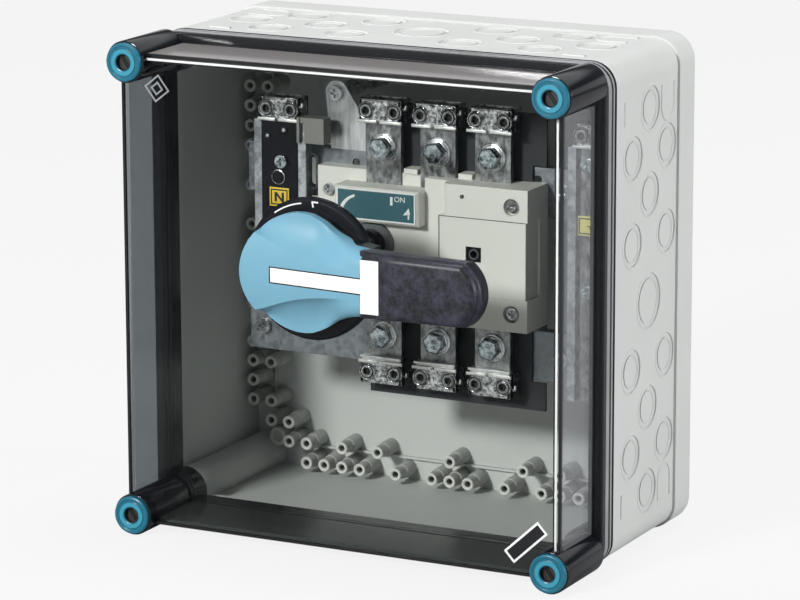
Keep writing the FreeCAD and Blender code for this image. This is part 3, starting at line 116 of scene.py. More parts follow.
BOSS_PROFILE = ((5.0, BACK_WALL - 0.2), (4.7, 15.4), (4.4, 15.9), (3.95, 16.1),
                (3.9, BOSS_TOP - 1.6), (3.6, BOSS_TOP - 1.2), (1.9, BOSS_TOP - 1.2),
                (1.8, BOSS_TOP - 12.0), (0.0, BOSS_TOP - 12.0))
BOSS_RING_PROFILE = ((3.55, BOSS_TOP - 1.4), (4.0, BOSS_TOP - 1.3), (4.0, BOSS_TOP - 0.5),
                     (3.7, BOSS_TOP - 0.1), (3.4, BOSS_TOP), (2.9, BOSS_TOP),
                     (2.6, BOSS_TOP - 0.2), (2.0, BOSS_TOP - 0.8), (2.0, BOSS_TOP - 1.4),
                     (3.55, BOSS_TOP - 1.4))
BOSS_HOLE_PROFILE = ((1.97, BOSS_TOP - 1.0), (1.78, BOSS_TOP - 11.8), (0.0, BOSS_TOP - 11.8))
COLLAR_PROFILE = ((3.5, BACK_WALL - 0.1), (3.5, 16.0), (5.6, 16.0), (5.9, 15.6),
                  (6.1, BACK_WALL - 0.1), (3.5, BACK_WALL - 0.1))
KNOB_PROFILE = ((0.0, 91.9), (1.5, 91.9), (1.5, 93.4), (1.1, 94.0), (0.0, 94.2))
PLUG_RING_PROFILE = ((4.3, 91.3), (4.6, 91.9), (4.1, 92.1), (3.9, 91.4))
PLUG_PROFILE = ((3.95, 91.3), (3.8, 92.3), (3.2, 92.8), (0.0, 93.0))
WASHER_PROFILE = ((4.1, 88.0), (8.6, 88.0), (8.6, 88.9), (8.2, 89.3), (7.9, 89.4), (7.5, 89.4),
                  (7.3, 89.5), (7.2, 90.0), (6.9, 90.2), (4.1, 90.2), (4.1, 88.0))
HEX_RADIUS = 12.0 / math.sqrt(3)
BOLT_HEAD_PROFILE = ((0.0, 90.2), (HEX_RADIUS, 90.2), (HEX_RADIUS, 94.4), (HEX_RADIUS - 0.9, 95.3),
                     (0.0, 95.5))
BOLT_SHANK_PROFILE = ((4.0, 81.9), (4.0, 90.2))
CLAMP_COLLAR_PROFILE = ((4.3, 92.4), (5.4, 92.4), (5.3, 93.1), (4.9, 93.4), (4.5, 93.3),
                        (4.3, 92.4))
CLAMP_SCREW_PROFILE = ((2.2, 88.0), (2.2, 92.4), (3.9, 92.5), (3.9, 93.3), (3.6, 93.7), (2.8, 93.7))
CLAMP_SOCKET_PROFILE = ((2.8, 93.7), (2.35, 93.4), (2.35, 90.6), (0.0, 90.6))
CLAMP_HOLE_PROFILE = ((2.3, 93.2), (2.3, 90.7), (0.0, 90.7))
CLAMP_GAP_PROFILE = ((4.32, 92.56), (3.88, 92.56))
TEST_HOLE_PROFILE = ((2.2, 102.4), (2.3, 103.0), (3.1, 103.0), (3.3, 102.4))
SPINDLE_PROFILE = ((0.0, 159.5), (9.8, 159.5), (9.8, 176.2))


# Materials

GRAIN_SCALE = 900.0
GRAIN_DEPTH = 0.0001


def new_material(name):
    mat = bpy.data.materials.new(name)
    mat.use_nodes = True
    mat.node_tree.nodes.clear()
    out = mat.node_tree.nodes.new("ShaderNodeOutputMaterial")
    return mat, mat.node_tree, out


def add_node(nt, kind, **values):
    """New shader node with values on its sockets, named with underscores for spaces."""
    node = nt.nodes.new("ShaderNode" + kind)
    for name, value in values.items():
        node.inputs[name.replace("_", " ")].default_value = value
    return node


def new_shader(name, **values):
    """Material with one Principled shader."""
    mat, nt, out = new_material(name)
    bsdf = add_node(nt, "BsdfPrincipled", **values)
    nt.links.new(bsdf.outputs["BSDF"], out.inputs["Surface"])
    return mat, nt, bsdf


def object_coords(nt, scale=(1.0, 1.0, 1.0)):
    coords = add_node(nt, "TexCoord")
    mapping = add_node(nt, "Mapping", Scale=scale)
    nt.links.new(coords.outputs["Object"], mapping.inputs["Vector"])
    return mapping.outputs["Vector"]


def noise(nt, vector, scale, detail=4.0, rough=0.55):
    node = add_node(nt, "TexNoise", Scale=scale, Detail=detail, Roughness=rough)
    nt.links.new(vector, node.inputs["Vector"])
    return node.outputs["Fac"]


def spread(nt, value, low, high, start=0.3, end=0.7):
    """Maps a value from start and end to low and high."""
    node = add_node(nt, "MapRange", From_Min=start, From_Max=end, To_Min=low, To_Max=high)
    nt.links.new(value, node.inputs["Value"])
    return node.outputs["Result"]


def two_tone(nt, value, first, second, start=0.35, end=0.65):
    node = add_node(nt, "ValToRGB")
    ends = node.color_ramp.elements
    ends[0].position, ends[1].position = start, end
    ends[0].color, ends[1].color = (*first, 1.0), (*second, 1.0)
    nt.links.new(value, node.inputs["Fac"])
    return node.outputs["Color"]


def surface(nt, edge, height, strength):
    """Normal with a fine bump, and with softened edges where edge, in metres, isn't 0."""
    bump = add_node(nt, "Bump", Strength=strength, Distance=GRAIN_DEPTH)
    nt.links.new(height, bump.inputs["Height"])
    if edge > 0.0:
        bevel = add_node(nt, "Bevel", Radius=edge)
        bevel.samples = 4
        nt.links.new(bevel.outputs["Normal"], bump.inputs["Normal"])
    return bump.outputs["Normal"]


def dress(nt, bsdf, colour, rough, normal):
    """Links colour, roughness and normal to a shader."""
    for value, socket in ((colour, "Base Color"), (rough, "Roughness"), (normal, "Normal")):
        nt.links.new(value, bsdf.inputs[socket])


def plastic(name, colour, rough, vary, bump=0.15, edge=0.0004, shine=0.5):
    """Moulded plastic: slightly uneven colour and gloss with a fine grain."""
    mat, nt, bsdf = new_shader(name, Specular_IOR_Level=shine)
    vector = object_coords(nt)
    broad = noise(nt, vector, 14.0, 5.0)
    fine = noise(nt, vector, GRAIN_SCALE, 2.0)
    dark = tuple(c * (1.0 - vary) for c in colour)
    light = tuple(min(1.0, c * (1.0 + vary)) for c in colour)
    dress(nt, bsdf, two_tone(nt, broad, dark, light),
          spread(nt, broad, rough - 0.05, rough + 0.07), surface(nt, edge, fine, bump))
    return mat


def speckled(name, dark, light, rough):
    """Moulded plastic with a fine worn speckle."""
    mat, nt, bsdf = new_shader(name, Specular_IOR_Level=0.35)
    vector = object_coords(nt)
    broad = noise(nt, vector, 160.0, 8.0, 0.8)
    fine = noise(nt, vector, GRAIN_SCALE, 2.0)
    dress(nt, bsdf, two_tone(nt, broad, dark, light, 0.42, 0.66),
          spread(nt, broad, rough, rough + 0.15), surface(nt, 0.0006, fine, 0.2))
    return mat


def metal(name, dark, light, rough, scale=60.0, streak=(1.0, 1.0, 1.0), edge=0.0003,
          start=0.35, end=0.65):
    """Plain or plated metal with streaks and small stains."""
    mat, nt, bsdf = new_shader(name, Metallic=1.0)
    vector = object_coords(nt, streak)
    broad = noise(nt, vector, scale, 6.0, 0.7)
    fine = noise(nt, vector, 260.0, 3.0)
    dress(nt, bsdf, two_tone(nt, broad, dark, light, start, end),
          spread(nt, fine, max(0.05, rough - 0.1), rough + 0.12), surface(nt, edge, fine, 0.2))
    return mat


def galvanised(name, dark, light):
    """Hot-dip zinc on sheet steel, with its pattern of crystals."""
    mat, nt, bsdf = new_shader(name, Metallic=0.85)
    vector = object_coords(nt)
    cells = add_node(nt, "TexVoronoi", Scale=380.0)
    nt.links.new(vector, cells.inputs["Vector"])
    grey = add_node(nt, "RGBToBW")
    nt.links.new(cells.outputs["Color"], grey.inputs["Color"])
    value = grey.outputs["Val"]
    dress(nt, bsdf, two_tone(nt, value, dark, light, 0.2, 0.8),
          spread(nt, value, 0.34, 0.52, 0.2, 0.8),
          surface(nt, 0.0003, noise(nt, vector, 500.0), 0.15))
    return mat


def blend_shaders(nt, share, first, second, out):
    """Output that goes from the first shader to the second with share."""
    mix = add_node(nt, "MixShader")
    nt.links.new(share, mix.inputs["Fac"])
    nt.links.new(first, mix.inputs[1])
    nt.links.new(second, mix.inputs[2])
    nt.links.new(mix.outputs["Shader"], out.inputs["Surface"])


def clear(name, tint, body_colour, cover, rough, more):
    """Clear moulding: see-through, under a glossy skin whose share grows from cover at a
    straight view by more at a grazing one."""
    mat, nt, out = new_material(name)
    through = add_node(nt, "BsdfTransparent", Color=(*tint, 1.0))
    skin = add_node(nt, "BsdfPrincipled", Base_Color=(*body_colour, 1.0), Roughness=rough)
    weight = add_node(nt, "LayerWeight", Blend=0.25)
    share = spread(nt, weight.outputs["Facing"], cover, min(1.0, cover + more), 0.1, 1.0)
    blend_shaders(nt, share, through.outputs["BSDF"], skin.outputs["BSDF"], out)
    return mat


M = {
    "shell": plastic("shell_grey", (0.61, 0.622, 0.612), 0.5, 0.02, shine=0.35),
    # The shell plastic drawn lighter for the bosses' ring faces and the wall collars (painted
    # light) and darker for the bosses' sides (painted shade).
    "boss_painted_light": plastic("boss_grey_painted_light", (0.70, 0.705, 0.68), 0.5, 0.02, edge=0.0),
    "boss_painted_shade": plastic("boss_grey_painted_shade", (0.42, 0.424, 0.41), 0.5, 0.02, edge=0.0),
    "beige": plastic("switch_beige", (0.77, 0.765, 0.72), 0.48, 0.02, shine=0.35),
    "black": plastic("moulded_black", (0.004, 0.005, 0.008), 0.36, 0.2, edge=0.0005, shine=0.2),
    "grip": speckled("grip_black", (0.004, 0.004, 0.007), (0.036, 0.039, 0.062), 0.34),
    "rubber": plastic("seal_rubber", (0.02, 0.02, 0.02), 0.7, 0.2, shine=0.2),
    "teal": plastic("screw_teal", (0.006, 0.13, 0.20), 0.3, 0.08, edge=0.0003),
    "teal_light": plastic("screw_teal_ring", (0.035, 0.27, 0.38), 0.28, 0.06, edge=0.0003),
    "blue": plastic("handle_blue", (0.155, 0.345, 0.455), 0.42, 0.04, edge=0.0006, shine=0.25),
    "white": plastic("inlay_white", (0.88, 0.88, 0.88), 0.4, 0.02),
    "yellow": plastic("label_yellow", (0.80, 0.55, 0.05), 0.4, 0.08, edge=0.0),
    "pale": plastic("label_pale_yellow", (0.95, 0.84, 0.22), 0.4, 0.08, edge=0.0),
    "clip": plastic("clip_grey", (0.22, 0.22, 0.21), 0.45, 0.06, shine=0.35),
    "label": plastic("label_petrol", (0.042, 0.128, 0.158), 0.35, 0.1, edge=0.0),
    "mark": plastic("mark_white", (0.86, 0.88, 0.88), 0.45, 0.02, edge=0.0),
    # Black for print, and painted shade in the holes of the bosses and the sockets of screws and
    # clamps.
    "ink": plastic("black_print_and_painted_hole_shade", (0.015, 0.015, 0.015), 0.5, 0.1, edge=0.0),
    "bearing": plastic("bearing_grey", (0.15, 0.16, 0.17), 0.3, 0.1, shine=0.4),
    "board": plastic("board_dark", (0.03, 0.032, 0.036), 0.55, 0.15, shine=0.3),
    "spacer": plastic("spacer_grey", (0.10, 0.105, 0.11), 0.5, 0.08, shine=0.3),
    "zinc": galvanised("galvanised_sheet", (0.21, 0.225, 0.245), (0.275, 0.295, 0.32)),
    "frosty": metal("frosty_zinc", (0.30, 0.32, 0.35), (0.66, 0.68, 0.72), 0.4, 140.0,
                    start=0.4, end=0.6),
    "brushed": metal("brushed_zinc", (0.42, 0.43, 0.45), (0.78, 0.79, 0.81), 0.42, 30.0,
                     (9.0, 1.0, 1.0)),
    "steel": metal("plated_steel", (0.25, 0.26, 0.27), (0.60, 0.61, 0.63), 0.28, 120.0,
                   start=0.4, end=0.6),
    "bright": metal("bright_zinc", (0.10, 0.105, 0.115), (0.86, 0.87, 0.88), 0.2, 420.0,
                    start=0.4, end=0.6),
    # Lighter zinc for the clamps' lips and the rail slot's rim: real parts with a painted
    # highlight.
    "ledge": metal("ledge_zinc_painted_highlight", (0.62, 0.62, 0.62), (0.95, 0.95, 0.94), 0.42, 200.0),
    "chrome": metal("bolt_zinc", (0.10, 0.125, 0.14), (0.62, 0.69, 0.73), 0.18, 280.0,
                    edge=0.0002, start=0.4, end=0.6),
    "flange": metal("flange_zinc", (0.42, 0.44, 0.46), (0.90, 0.91, 0.92), 0.24, 90.0),
    "tinned": metal("tinned_bar", (0.15, 0.155, 0.16), (0.42, 0.43, 0.44), 0.36, 260.0,
                    (1.0, 1.0, 0.5), start=0.4, end=0.62),
    "copper": metal("bare_copper", (0.60, 0.30, 0.18), (0.78, 0.44, 0.27), 0.35),
    # The lid is one clear moulding: its walls, flange and tubes are copies that differ in painted
    # reflection, light on the right and top walls, dark on the left and low walls, darker on the
    # flange and near black on the tubes.
    "pane": clear("lid_pane", (0.92, 0.93, 0.92), (0.06, 0.065, 0.07), 0.02, 0.05, 0.45),
    "wall": clear("lid_wall", (0.88, 0.895, 0.90), (0.40, 0.405, 0.42), 0.10, 0.1, 0.55),
    "wall_left_painted_dark": clear("lid_wall_left", (0.60, 0.63, 0.65), (0.13, 0.133, 0.142), 0.30, 0.12, 0.4),
    "wall_top_painted_light": clear("lid_wall_top", (0.62, 0.62, 0.62), (0.36, 0.34, 0.34), 0.5, 0.12, 0.45),
    "wall_low_painted_dark": clear("lid_wall_low", (0.30, 0.33, 0.32), (0.05, 0.055, 0.052), 0.55, 0.15, 0.4),
    "flange_painted_dark": clear("lid_flange_painted_dark", (0.28, 0.29, 0.30), (0.02, 0.021, 0.025), 0.60, 0.12, 0.38),
    "tube": plastic("tube_painted_dark", (0.008, 0.009, 0.013), 0.09, 0.3, bump=0.02),
    # Painted dark, grey and light lines where light catches the lid's edges. The dark one also
    # draws the lid's tag and the pointer's edge, and the grey one the raised symbol, whose grey is
    # painted too.
    "line": plastic("edge_dark", (0.008, 0.008, 0.010), 0.2, 0.3, bump=0.03, edge=0.0, shine=0.4),
    "painted_grey_edge": plastic("edge_painted_grey", (0.27, 0.28, 0.29), 0.3, 0.2, edge=0.0),
    "glint": plastic("edge_light", (0.72, 0.74, 0.73), 0.2, 0.05, bump=0.03, edge=0.0),
}


# Mesh building. Places are (x, z) on the wall's plane and a depth, in millimetres.

TO_FRAME = Matrix(((MM, 0, 0, 0), (0, 0, -MM, 0), (0, MM, 0, 0), (0, 0, 0, 1)))


class Mould:
    """Collects the forms of one piece; its local axes are x, z and depth."""

    def __init__(self):
        self.mesh = bmesh.new()

    def add_curve(self, curve, x, z, depth):
        """Adds a curve's or a text's mesh at a place and removes the curve."""
        work = bpy.data.objects.new("work", curve)
        mesh = bpy.data.meshes.new_from_object(work)
        mesh.transform(Matrix.Translation((x, z, depth)))
        self.mesh.from_mesh(mesh)
        bpy.data.objects.remove(work)
        bpy.data.curves.remove(curve)
        bpy.data.meshes.remove(mesh)

    def plate(self, loops, back, front, edge=0.0, steps=2):
        """Plate between two depths over closed loops; a loop inside another is a hole."""
        curve = bpy.data.curves.new("work", "CURVE")
        curve.dimensions = "2D"
        curve.fill_mode = "BOTH"
        curve.extrude = (front - back) / 2 - edge
        curve.bevel_depth = edge
        curve.bevel_resolution = steps
        curve.offset = -edge
        for loop in loops:
            spline = curve.splines.new("POLY")
            spline.points.add(len(loop) - 1)
            for point, (x, z) in zip(spline.points, loop):
                point.co = (x, z, 0.0, 1.0)
            spline.use_cyclic_u = True
        self.add_curve(curve, 0.0, 0.0, (front + back) / 2)

    def box(self, x0, x1, back, front, z0, z1, edge=0.0):
        self.plate([[(x0, z0), (x1, z0), (x1, z1), (x0, z1)]], back, front, edge)

    def text(self, words, x, z, size, back, front):
        curve = bpy.data.curves.new("work", "FONT")
        curve.body = words
        curve.size = size
        curve.align_x = "CENTER"
        curve.align_y = "CENTER"
        curve.extrude = (front - back) / 2
        self.add_curve(curve, x, z, (front + back) / 2)

    def lathe(self, x, z, profile, sides=32, turn=0.0):
        """Turned form about the depth axis through (x, z), from (radius, depth) points."""
        rings = []
        for radius, depth in profile:
            if radius == 0.0:
                rings.append([self.mesh.verts.new((x, z, depth))])
            else:
                rings.append([self.mesh.verts.new((cx, cz, depth))
                              for cx, cz in circle(x, z, radius, sides, turn)])
        for first, second in zip(rings, rings[1:]):
            for i in range(sides):
                j = (i + 1) % sides
                corners = [first[i % len(first)], first[j % len(first)],
                           second[j % len(second)], second[i % len(second)]]
                self.mesh.faces.new(list(dict.fromkeys(corners)))

    def grid(self, rows):
        """Surface over rows of (x, z, depth) points."""
        lines = [[self.mesh.verts.new(p) for p in row] for row in rows]
        for a, b in zip(lines, lines[1:]):
            for i in range(len(a) - 1):
                self.mesh.faces.new((a[i], a[i + 1], b[i + 1], b[i]))

    def piece(self, name, body, key, slot, angle=35.0):
        """Makes the piece; edges sharper than angle stay sharp."""
        bmesh.ops.remove_doubles(self.mesh, verts=self.mesh.verts, dist=0.0005)
        bmesh.ops.recalc_face_normals(self.mesh, faces=self.mesh.faces)
        mesh = bpy.data.meshes.new(name)
        self.mesh.to_mesh(mesh)
        self.mesh.free()
        mesh.transform(TO_FRAME)
        mesh.polygons.foreach_set("use_smooth", [True] * len(mesh.polygons))
        mesh.set_sharp_from_angle(angle=math.radians(angle))
        mesh.materials.append(M[key])
        obj = bpy.data.objects.new(name, mesh)
        bpy.context.scene.collection.objects.link(obj)
        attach(obj, body)
        return obj


def circle(x, z, radius, sides=32, turn=0.0):
    return [(x + radius * math.cos(2 * math.pi * i / sides + turn),
             z + radius * math.sin(2 * math.pi * i / sides + turn)) for i in range(sides)]


def arc(x, z, radius, first, last, steps):
    """Points on a circle from one angle to another, in degrees."""
    angles = [math.radians(first + (last - first) * i / steps) for i in range(steps + 1)]
    return [(x + radius * math.cos(a), z + radius * math.sin(a)) for a in angles]


def rectangle(x, z, width, height, turn=0.0):
    c, s = math.cos(turn), math.sin(turn)
    return [(x + sx * width / 2 * c - sz * height / 2 * s,
             z + sx * width / 2 * s + sz * height / 2 * c)
            for sx, sz in ((-1, -1), (1, -1), (1, 1), (-1, 1))]


def rounded(half, radius):
    """Square loop with rounded corners."""
    steps = 8
    loop = []
    for number, (sx, sz) in enumerate(CORNERS_ROUND):
        for i in range(steps + 1):
            a = math.pi / 2 * (number + i / steps)
            loop.append((sx * (half - radius) + radius * math.cos(a),
                         sz * (half - radius) + radius * math.sin(a)))
    return loop


def bitten(half, radius):
    """Square loop that steps back round the four lid screws."""
    steps = 14
    loop = []
    start = math.asin((half - SCREW_HALF) / radius)
    first = -math.pi / 2 + start
    last = -math.pi - start
    for number, (sx, sz) in enumerate(CORNERS_ROUND):
        for i in range(steps + 1):
            a = first + (last - first) * i / steps + math.pi / 2 * number
            loop.append((sx * SCREW_HALF + radius * math.cos(a),
                         sz * SCREW_HALF + radius * math.sin(a)))
    return loop


# Lid

def make_lid():
    """Flange, pane, walls and screw tubes of the clear lid."""
    bores = [circle(sx * SCREW_HALF, sz * SCREW_HALF, SCREW_BORE, 20) for sx, sz in CORNERS]
    outline = rounded(HALF, LID_CORNER)
    opening = bitten(LID_INNER, LID_BITE)
    flange = Mould()
    flange.plate([outline, bitten(*GROOVE_OUTER), bitten(*GROOVE_INNER), opening] + bores,
                 BASE_DEPTH, FLANGE_STEP)
    flange.plate([outline, opening] + bores, FLANGE_STEP, FLANGE_FRONT, 0.6)
    # Flange in painted dark reflection.
    flange = flange.piece("lid_flange", "lid", "flange_painted_dark", "lid_clear")
    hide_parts("enclosure_lid")
    pane = Mould()
    pane.plate([bitten(LID_HALF, TUBE_RADIUS - 0.2), circle(AXIS_X, AXIS_Z, PANE_HOLE, 48)],
               PANE_BACK, PANE_FRONT, 0.3)
    pane.piece("lid_pane", "lid", "pane", "lid_clear")
    end = SCREW_HALF - TUBE_RADIUS + 1.5
    # Each wall gets its own copy of the clear material, with painted light or dark reflection.
    for side, key, x0, x1, z0, z1 in (("right", "wall", LID_INNER, LID_HALF, -end, end),
                                      ("left", "wall_left_painted_dark", -LID_HALF, -LID_INNER, -end, end),
                                      ("top", "wall_top_painted_light", -end, end, LID_INNER, LID_HALF),
                                      ("low", "wall_low_painted_dark", -end, end, -LID_HALF, -LID_INNER)):
        wall = Mould()
        wall.box(x0, x1, FLANGE_FRONT, PANE_BACK, z0, z1)
        wall.piece("lid_wall_" + side, "lid", key, "lid_clear")
    # Tubes drawn near black: painted dark reflection in the clear plastic.
    tubes = Mould()
    for sx, sz in CORNERS:
        tubes.lathe(sx * SCREW_HALF, sz * SCREW_HALF, TUBE_PROFILE, 48)
    tubes.piece("lid_tubes", "lid", "tube", "lid_clear")


def lid_strip(mould, sx, sz, near, far, back, front):
    """Thin strip along one side of the lid, at near to far from the centre."""
    end = SCREW_HALF - TUBE_RADIUS + 1.0
    low, high = sorted(((sx + sz) * near, (sx + sz) * far))
    if sz:
        mould.box(-end, end, back, front, low, high, 0.1)
    else:
        mould.box(low, high, back, front, -end, end, 0.1)


def make_lid_edges():
    """Dark, frosted and bright edges, as light draws them in the clear moulding."""
    dark = Mould()
    glint = Mould()
    for sx, sz in ((1, 0), (-1, 0), (0, 1), (0, -1)):
        lid_strip(dark, sx, sz, 141.0, LID_HALF + 0.15, 168.4, PANE_FRONT + 0.15)
        lid_strip(dark, sx, sz, LID_HALF - 0.05, LID_HALF + 0.9,
                  FLANGE_FRONT - 0.05, FLANGE_FRONT + 0.8)
        if sx == 1 or sz == 1:
            lid_strip(dark, sx, sz, 137.8, 138.5, PANE_FRONT - 0.05, PANE_FRONT + 0.15)
            lid_strip(glint, sx, sz, 138.8, 140.2, PANE_FRONT - 0.05, PANE_FRONT + 0.12)
    for back, front, proud in ((BASE_DEPTH + 0.1, BASE_DEPTH + 1.3, 0.3), (123.6, 125.2, 0.2)):
        dark.plate([rounded(HALF + proud, LID_CORNER + proud), rounded(HALF - 0.4, 14.6)],
                   back, front, 0.1)
    # Grey streaks on the flange's side are painted reflection.
    painted_streaks = Mould()
    for back, front in ((112.6, 114.6), (117.0, 121.2)):
        painted_streaks.plate([rounded(HALF + 0.15, 15.15), rounded(HALF - 0.3, 14.7)], back, front, 0.05)
    painted_streaks.piece("lid_painted_streaks", "lid", "painted_grey_edge", "lid_clear")
    dark.piece("lid_lines", "lid", "line", "lid_clear")
    glint.piece("lid_glints", "lid", "glint", "lid_clear")


def make_lid_marks():
    """Raised double square in one corner of the pane and a bare slanted plate in another."""
    seat = PANE_FRONT - 0.05
    symbol = Mould()
    x, z, turn = -118.6, 122.6, math.radians(38.0)
    for size in (12.0, 6.0):
        inner = size - 2.0
        symbol.plate([rectangle(x, z, size, size, turn), rectangle(x, z, inner, inner, turn)],
                     seat, PANE_FRONT + 0.35, 0.1)
    # The raised symbol is clear like the pane; its grey is painted light.
    symbol.piece("lid_symbol", "lid", "painted_grey_edge", "lid_clear")
    tag = Mould()
    x, z, turn = 120.9, -122.4, math.radians(42.8)
    tag.plate([rectangle(x, z, 29.0, 9.4, turn), rectangle(x, z, 26.4, 6.8, turn)],
              seat, PANE_FRONT + 0.4, 0.15)
    tag.piece("lid_tag_frame", "lid", "mark", "lid_clear")
    bare = Mould()
    bare.plate([rectangle(x, z, 26.2, 6.6, turn)], seat, PANE_FRONT + 0.15)
    bare.piece("lid_tag", "lid", "line", "lid_clear")


def make_lid_screws():
    for name, sx, sz in (("top_left", -1, 1), ("top_right", 1, 1),
                         ("bottom_left", -1, -1), ("bottom_right", 1, -1)):
        body = "screw_" + name
        x, z = sx * SCREW_HALF, sz * SCREW_HALF
        head = Mould()
        head.lathe(x, z, SCREW_PROFILE, 48)
        head = head.piece("screw_head_" + name, body, "teal", "screw_teal")
        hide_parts("lid_screw_" + name)
        ring = Mould()
        ring.lathe(x, z, SCREW_RING_PROFILE, 48)
        ring.piece("screw_ring_" + name, body, "teal_light", "screw_teal")
        # The socket is painted black as shade in the recess.
        socket = Mould()
        socket.lathe(x, z, SCREW_SOCKET_PROFILE, 32)
        socket.plate([rectangle(x, z, 1.6, 8.0, 0.6), rectangle(x, z, 1.0, 7.4, 0.6)], 173.6, 174.6)
        socket.piece("screw_socket_" + name, body, "ink", "screw_teal")


# Enclosure

def boss_places():
    """Grid places of the fixing bosses, the same along all four edges of the back wall."""
    outer = [(i, 11) for i in (0, 1, 3, 5, 6, 7, 8)]
    inner = [(i, 10) for i in (0, 4, 6, 8, 9)]
    quarter = outer + inner + [(j, i) for i, j in outer + inner] + [(9, 9)]
    places = {(sx * i, sz * j) for i, j in quarter for sx, sz in CORNERS}
    return sorted((i * GRID, j * GRID) for i, j in places)


def make_bosses():
    bosses = Mould()
    rings = Mould()
    holes = Mould()
    for x, z in boss_places():
        bosses.lathe(x, z, BOSS_PROFILE, 24)
        rings.lathe(x, z, BOSS_RING_PROFILE, 24)
        holes.lathe(x, z, BOSS_HOLE_PROFILE, 12)
    # Sides in painted shade, ring faces in painted light, and holes painted black as shade.
    bosses = bosses.piece("boss_field", "enclosure", "boss_painted_shade", "enclosure_grey")
    rings.piece("boss_rings", "enclosure", "boss_painted_light", "enclosure_grey")
    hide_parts("fixing_bosses")
    holes.piece("boss_holes_painted_shade", "enclosure", "ink", "enclosure_grey")


def make_hole_collars():
    """Raised collars round the four wall fixing holes."""
    collars = Mould()
    for sx, sz in CORNERS:
        collars.lathe(sx * WALL_HOLE, sz * WALL_HOLE, COLLAR_PROFILE, 28)
    # Drawn in the lighter boss grey: painted light.
    collars.piece("wall_hole_collars", "enclosure", "boss_painted_light", "enclosure_grey")


def side_place(turn, along, height, depth):
    """Place on a side wall: along it, above its face, and its depth."""
    t = math.radians(turn)
    r = HALF + height
    return (r * math.cos(t) - along * math.sin(t), r * math.sin(t) + along * math.cos(t), depth)


def make_knockouts():
    """Two low beads round every cable entry on the four side walls."""
    sides = 40
    angles = [2 * math.pi * i / sides for i in range(sides + 1)]
    for name, inner, outer, low, high in (("knockout_rims", 12.75, 14.1, -0.6, 0.3),
                                          ("knockout_inner_rings", 8.9, 9.9, -0.62, -0.3)):
        beads = Mould()
        for depth, places in KNOCKOUTS:
            for along in places:
                grow = MIDDLE_GROWS if along == 0.0 else 0.0
                profile = ((inner + grow, low), (inner + grow + 0.15, high),
                           (outer + grow - 0.35, high), (outer + grow, 0.0), (outer + grow, low))
                for turn in SIDE_WALLS:
                    beads.grid([[side_place(turn, along + radius * math.cos(a), height,
                                            depth + radius * math.sin(a)) for a in angles]
                                for radius, height in profile])
        beads.piece(name, "enclosure", "shell", "enclosure_grey")


def make_wall_ribs():
    """Narrow ribs and open loops near the corners of the side walls."""
    section = ((-1.3, -0.3), (-1.0, 0.6), (0.6, 0.6), (1.3, -0.3))
    straight = [(109.5, 98.2), (123.4, 98.2)]
    reach, radius = 112.6, 8.8
    loop = [(125.5, 45.0), (reach, 45.0)]
    loop += [(reach - radius * math.sin(math.radians(a)), 36.2 + radius * math.cos(math.radians(a)))
             for a in range(15, 166, 15)]
    loop += [(reach, 27.4), (125.5, 27.4)]
    ribs = Mould()
    for turn in SIDE_WALLS:
        for end in (-1, 1):
            for line in (straight, loop):
                path = [(end * along, depth) for along, depth in line]
                rows = []
                for i, (along, depth) in enumerate(path):
                    before = path[max(0, i - 1)]
                    after = path[min(len(path) - 1, i + 1)]
                    dx, dy = after[0] - before[0], after[1] - before[1]
                    length = math.hypot(dx, dy)
                    nx, ny = -dy / length, dx / length
                    rows.append([side_place(turn, along + nx * w, h, depth + ny * w)
                                 for w, h in section])
                ribs.grid(rows)
    ribs.piece("wall_ribs", "enclosure", "shell", "enclosure_grey")


# Terminals

def make_neutral_details():
    """Knobs and a dark plug on the neutral terminal, and the rim of the rail's slot."""
    plug_x, plug_z = -81.3, 59.1
    knobs = Mould()
    for x, z in ((-87.5, 84.4), (-76.3, 88.4)):
        knobs.lathe(x, z, KNOB_PROFILE, 20)
    knobs.lathe(plug_x, plug_z, PLUG_RING_PROFILE, 28)
    knobs.piece("neutral_knobs", "enclosure", "flange", "zinc_clamp")
    plug = Mould()
    plug.lathe(plug_x, plug_z, PLUG_PROFILE, 28)
    plug.piece("neutral_plug", "enclosure", "black", "black_plastic")
    x, z, half = -65.5, 61.5, 8.0
    # Rim in lighter zinc: a painted highlight on the slot's edge.
    rim = Mould()
    rim.plate([arc(x, z + half, radius, 0, 180, 12) + arc(x, z - half, radius, 180, 360, 12)
               for radius in (3.1, 2.0)], 75.9, 77.0, 0.15)
    rim.piece("rail_slot_rim", "enclosure", "ledge", "galvanised")


def make_bolts():
    washers = Mould()
    heads = Mould()
    for side in (1, -1):
        for x in POLES:
            z = AXIS_Z + side * BOLT_REACH
            washers.lathe(x, z, WASHER_PROFILE, 36)
            heads.lathe(x, z, BOLT_HEAD_PROFILE, 6, math.radians(BOLT_ANGLE * side))
            heads.lathe(x, z, BOLT_SHANK_PROFILE, 24)
    washers = washers.piece("bolt_washers", "enclosure", "flange", "zinc_clamp")
    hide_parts("terminal_washers")
    heads = heads.piece("bolt_heads", "enclosure", "chrome", "zinc_clamp", 25.0)
    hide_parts("terminal_bolts")


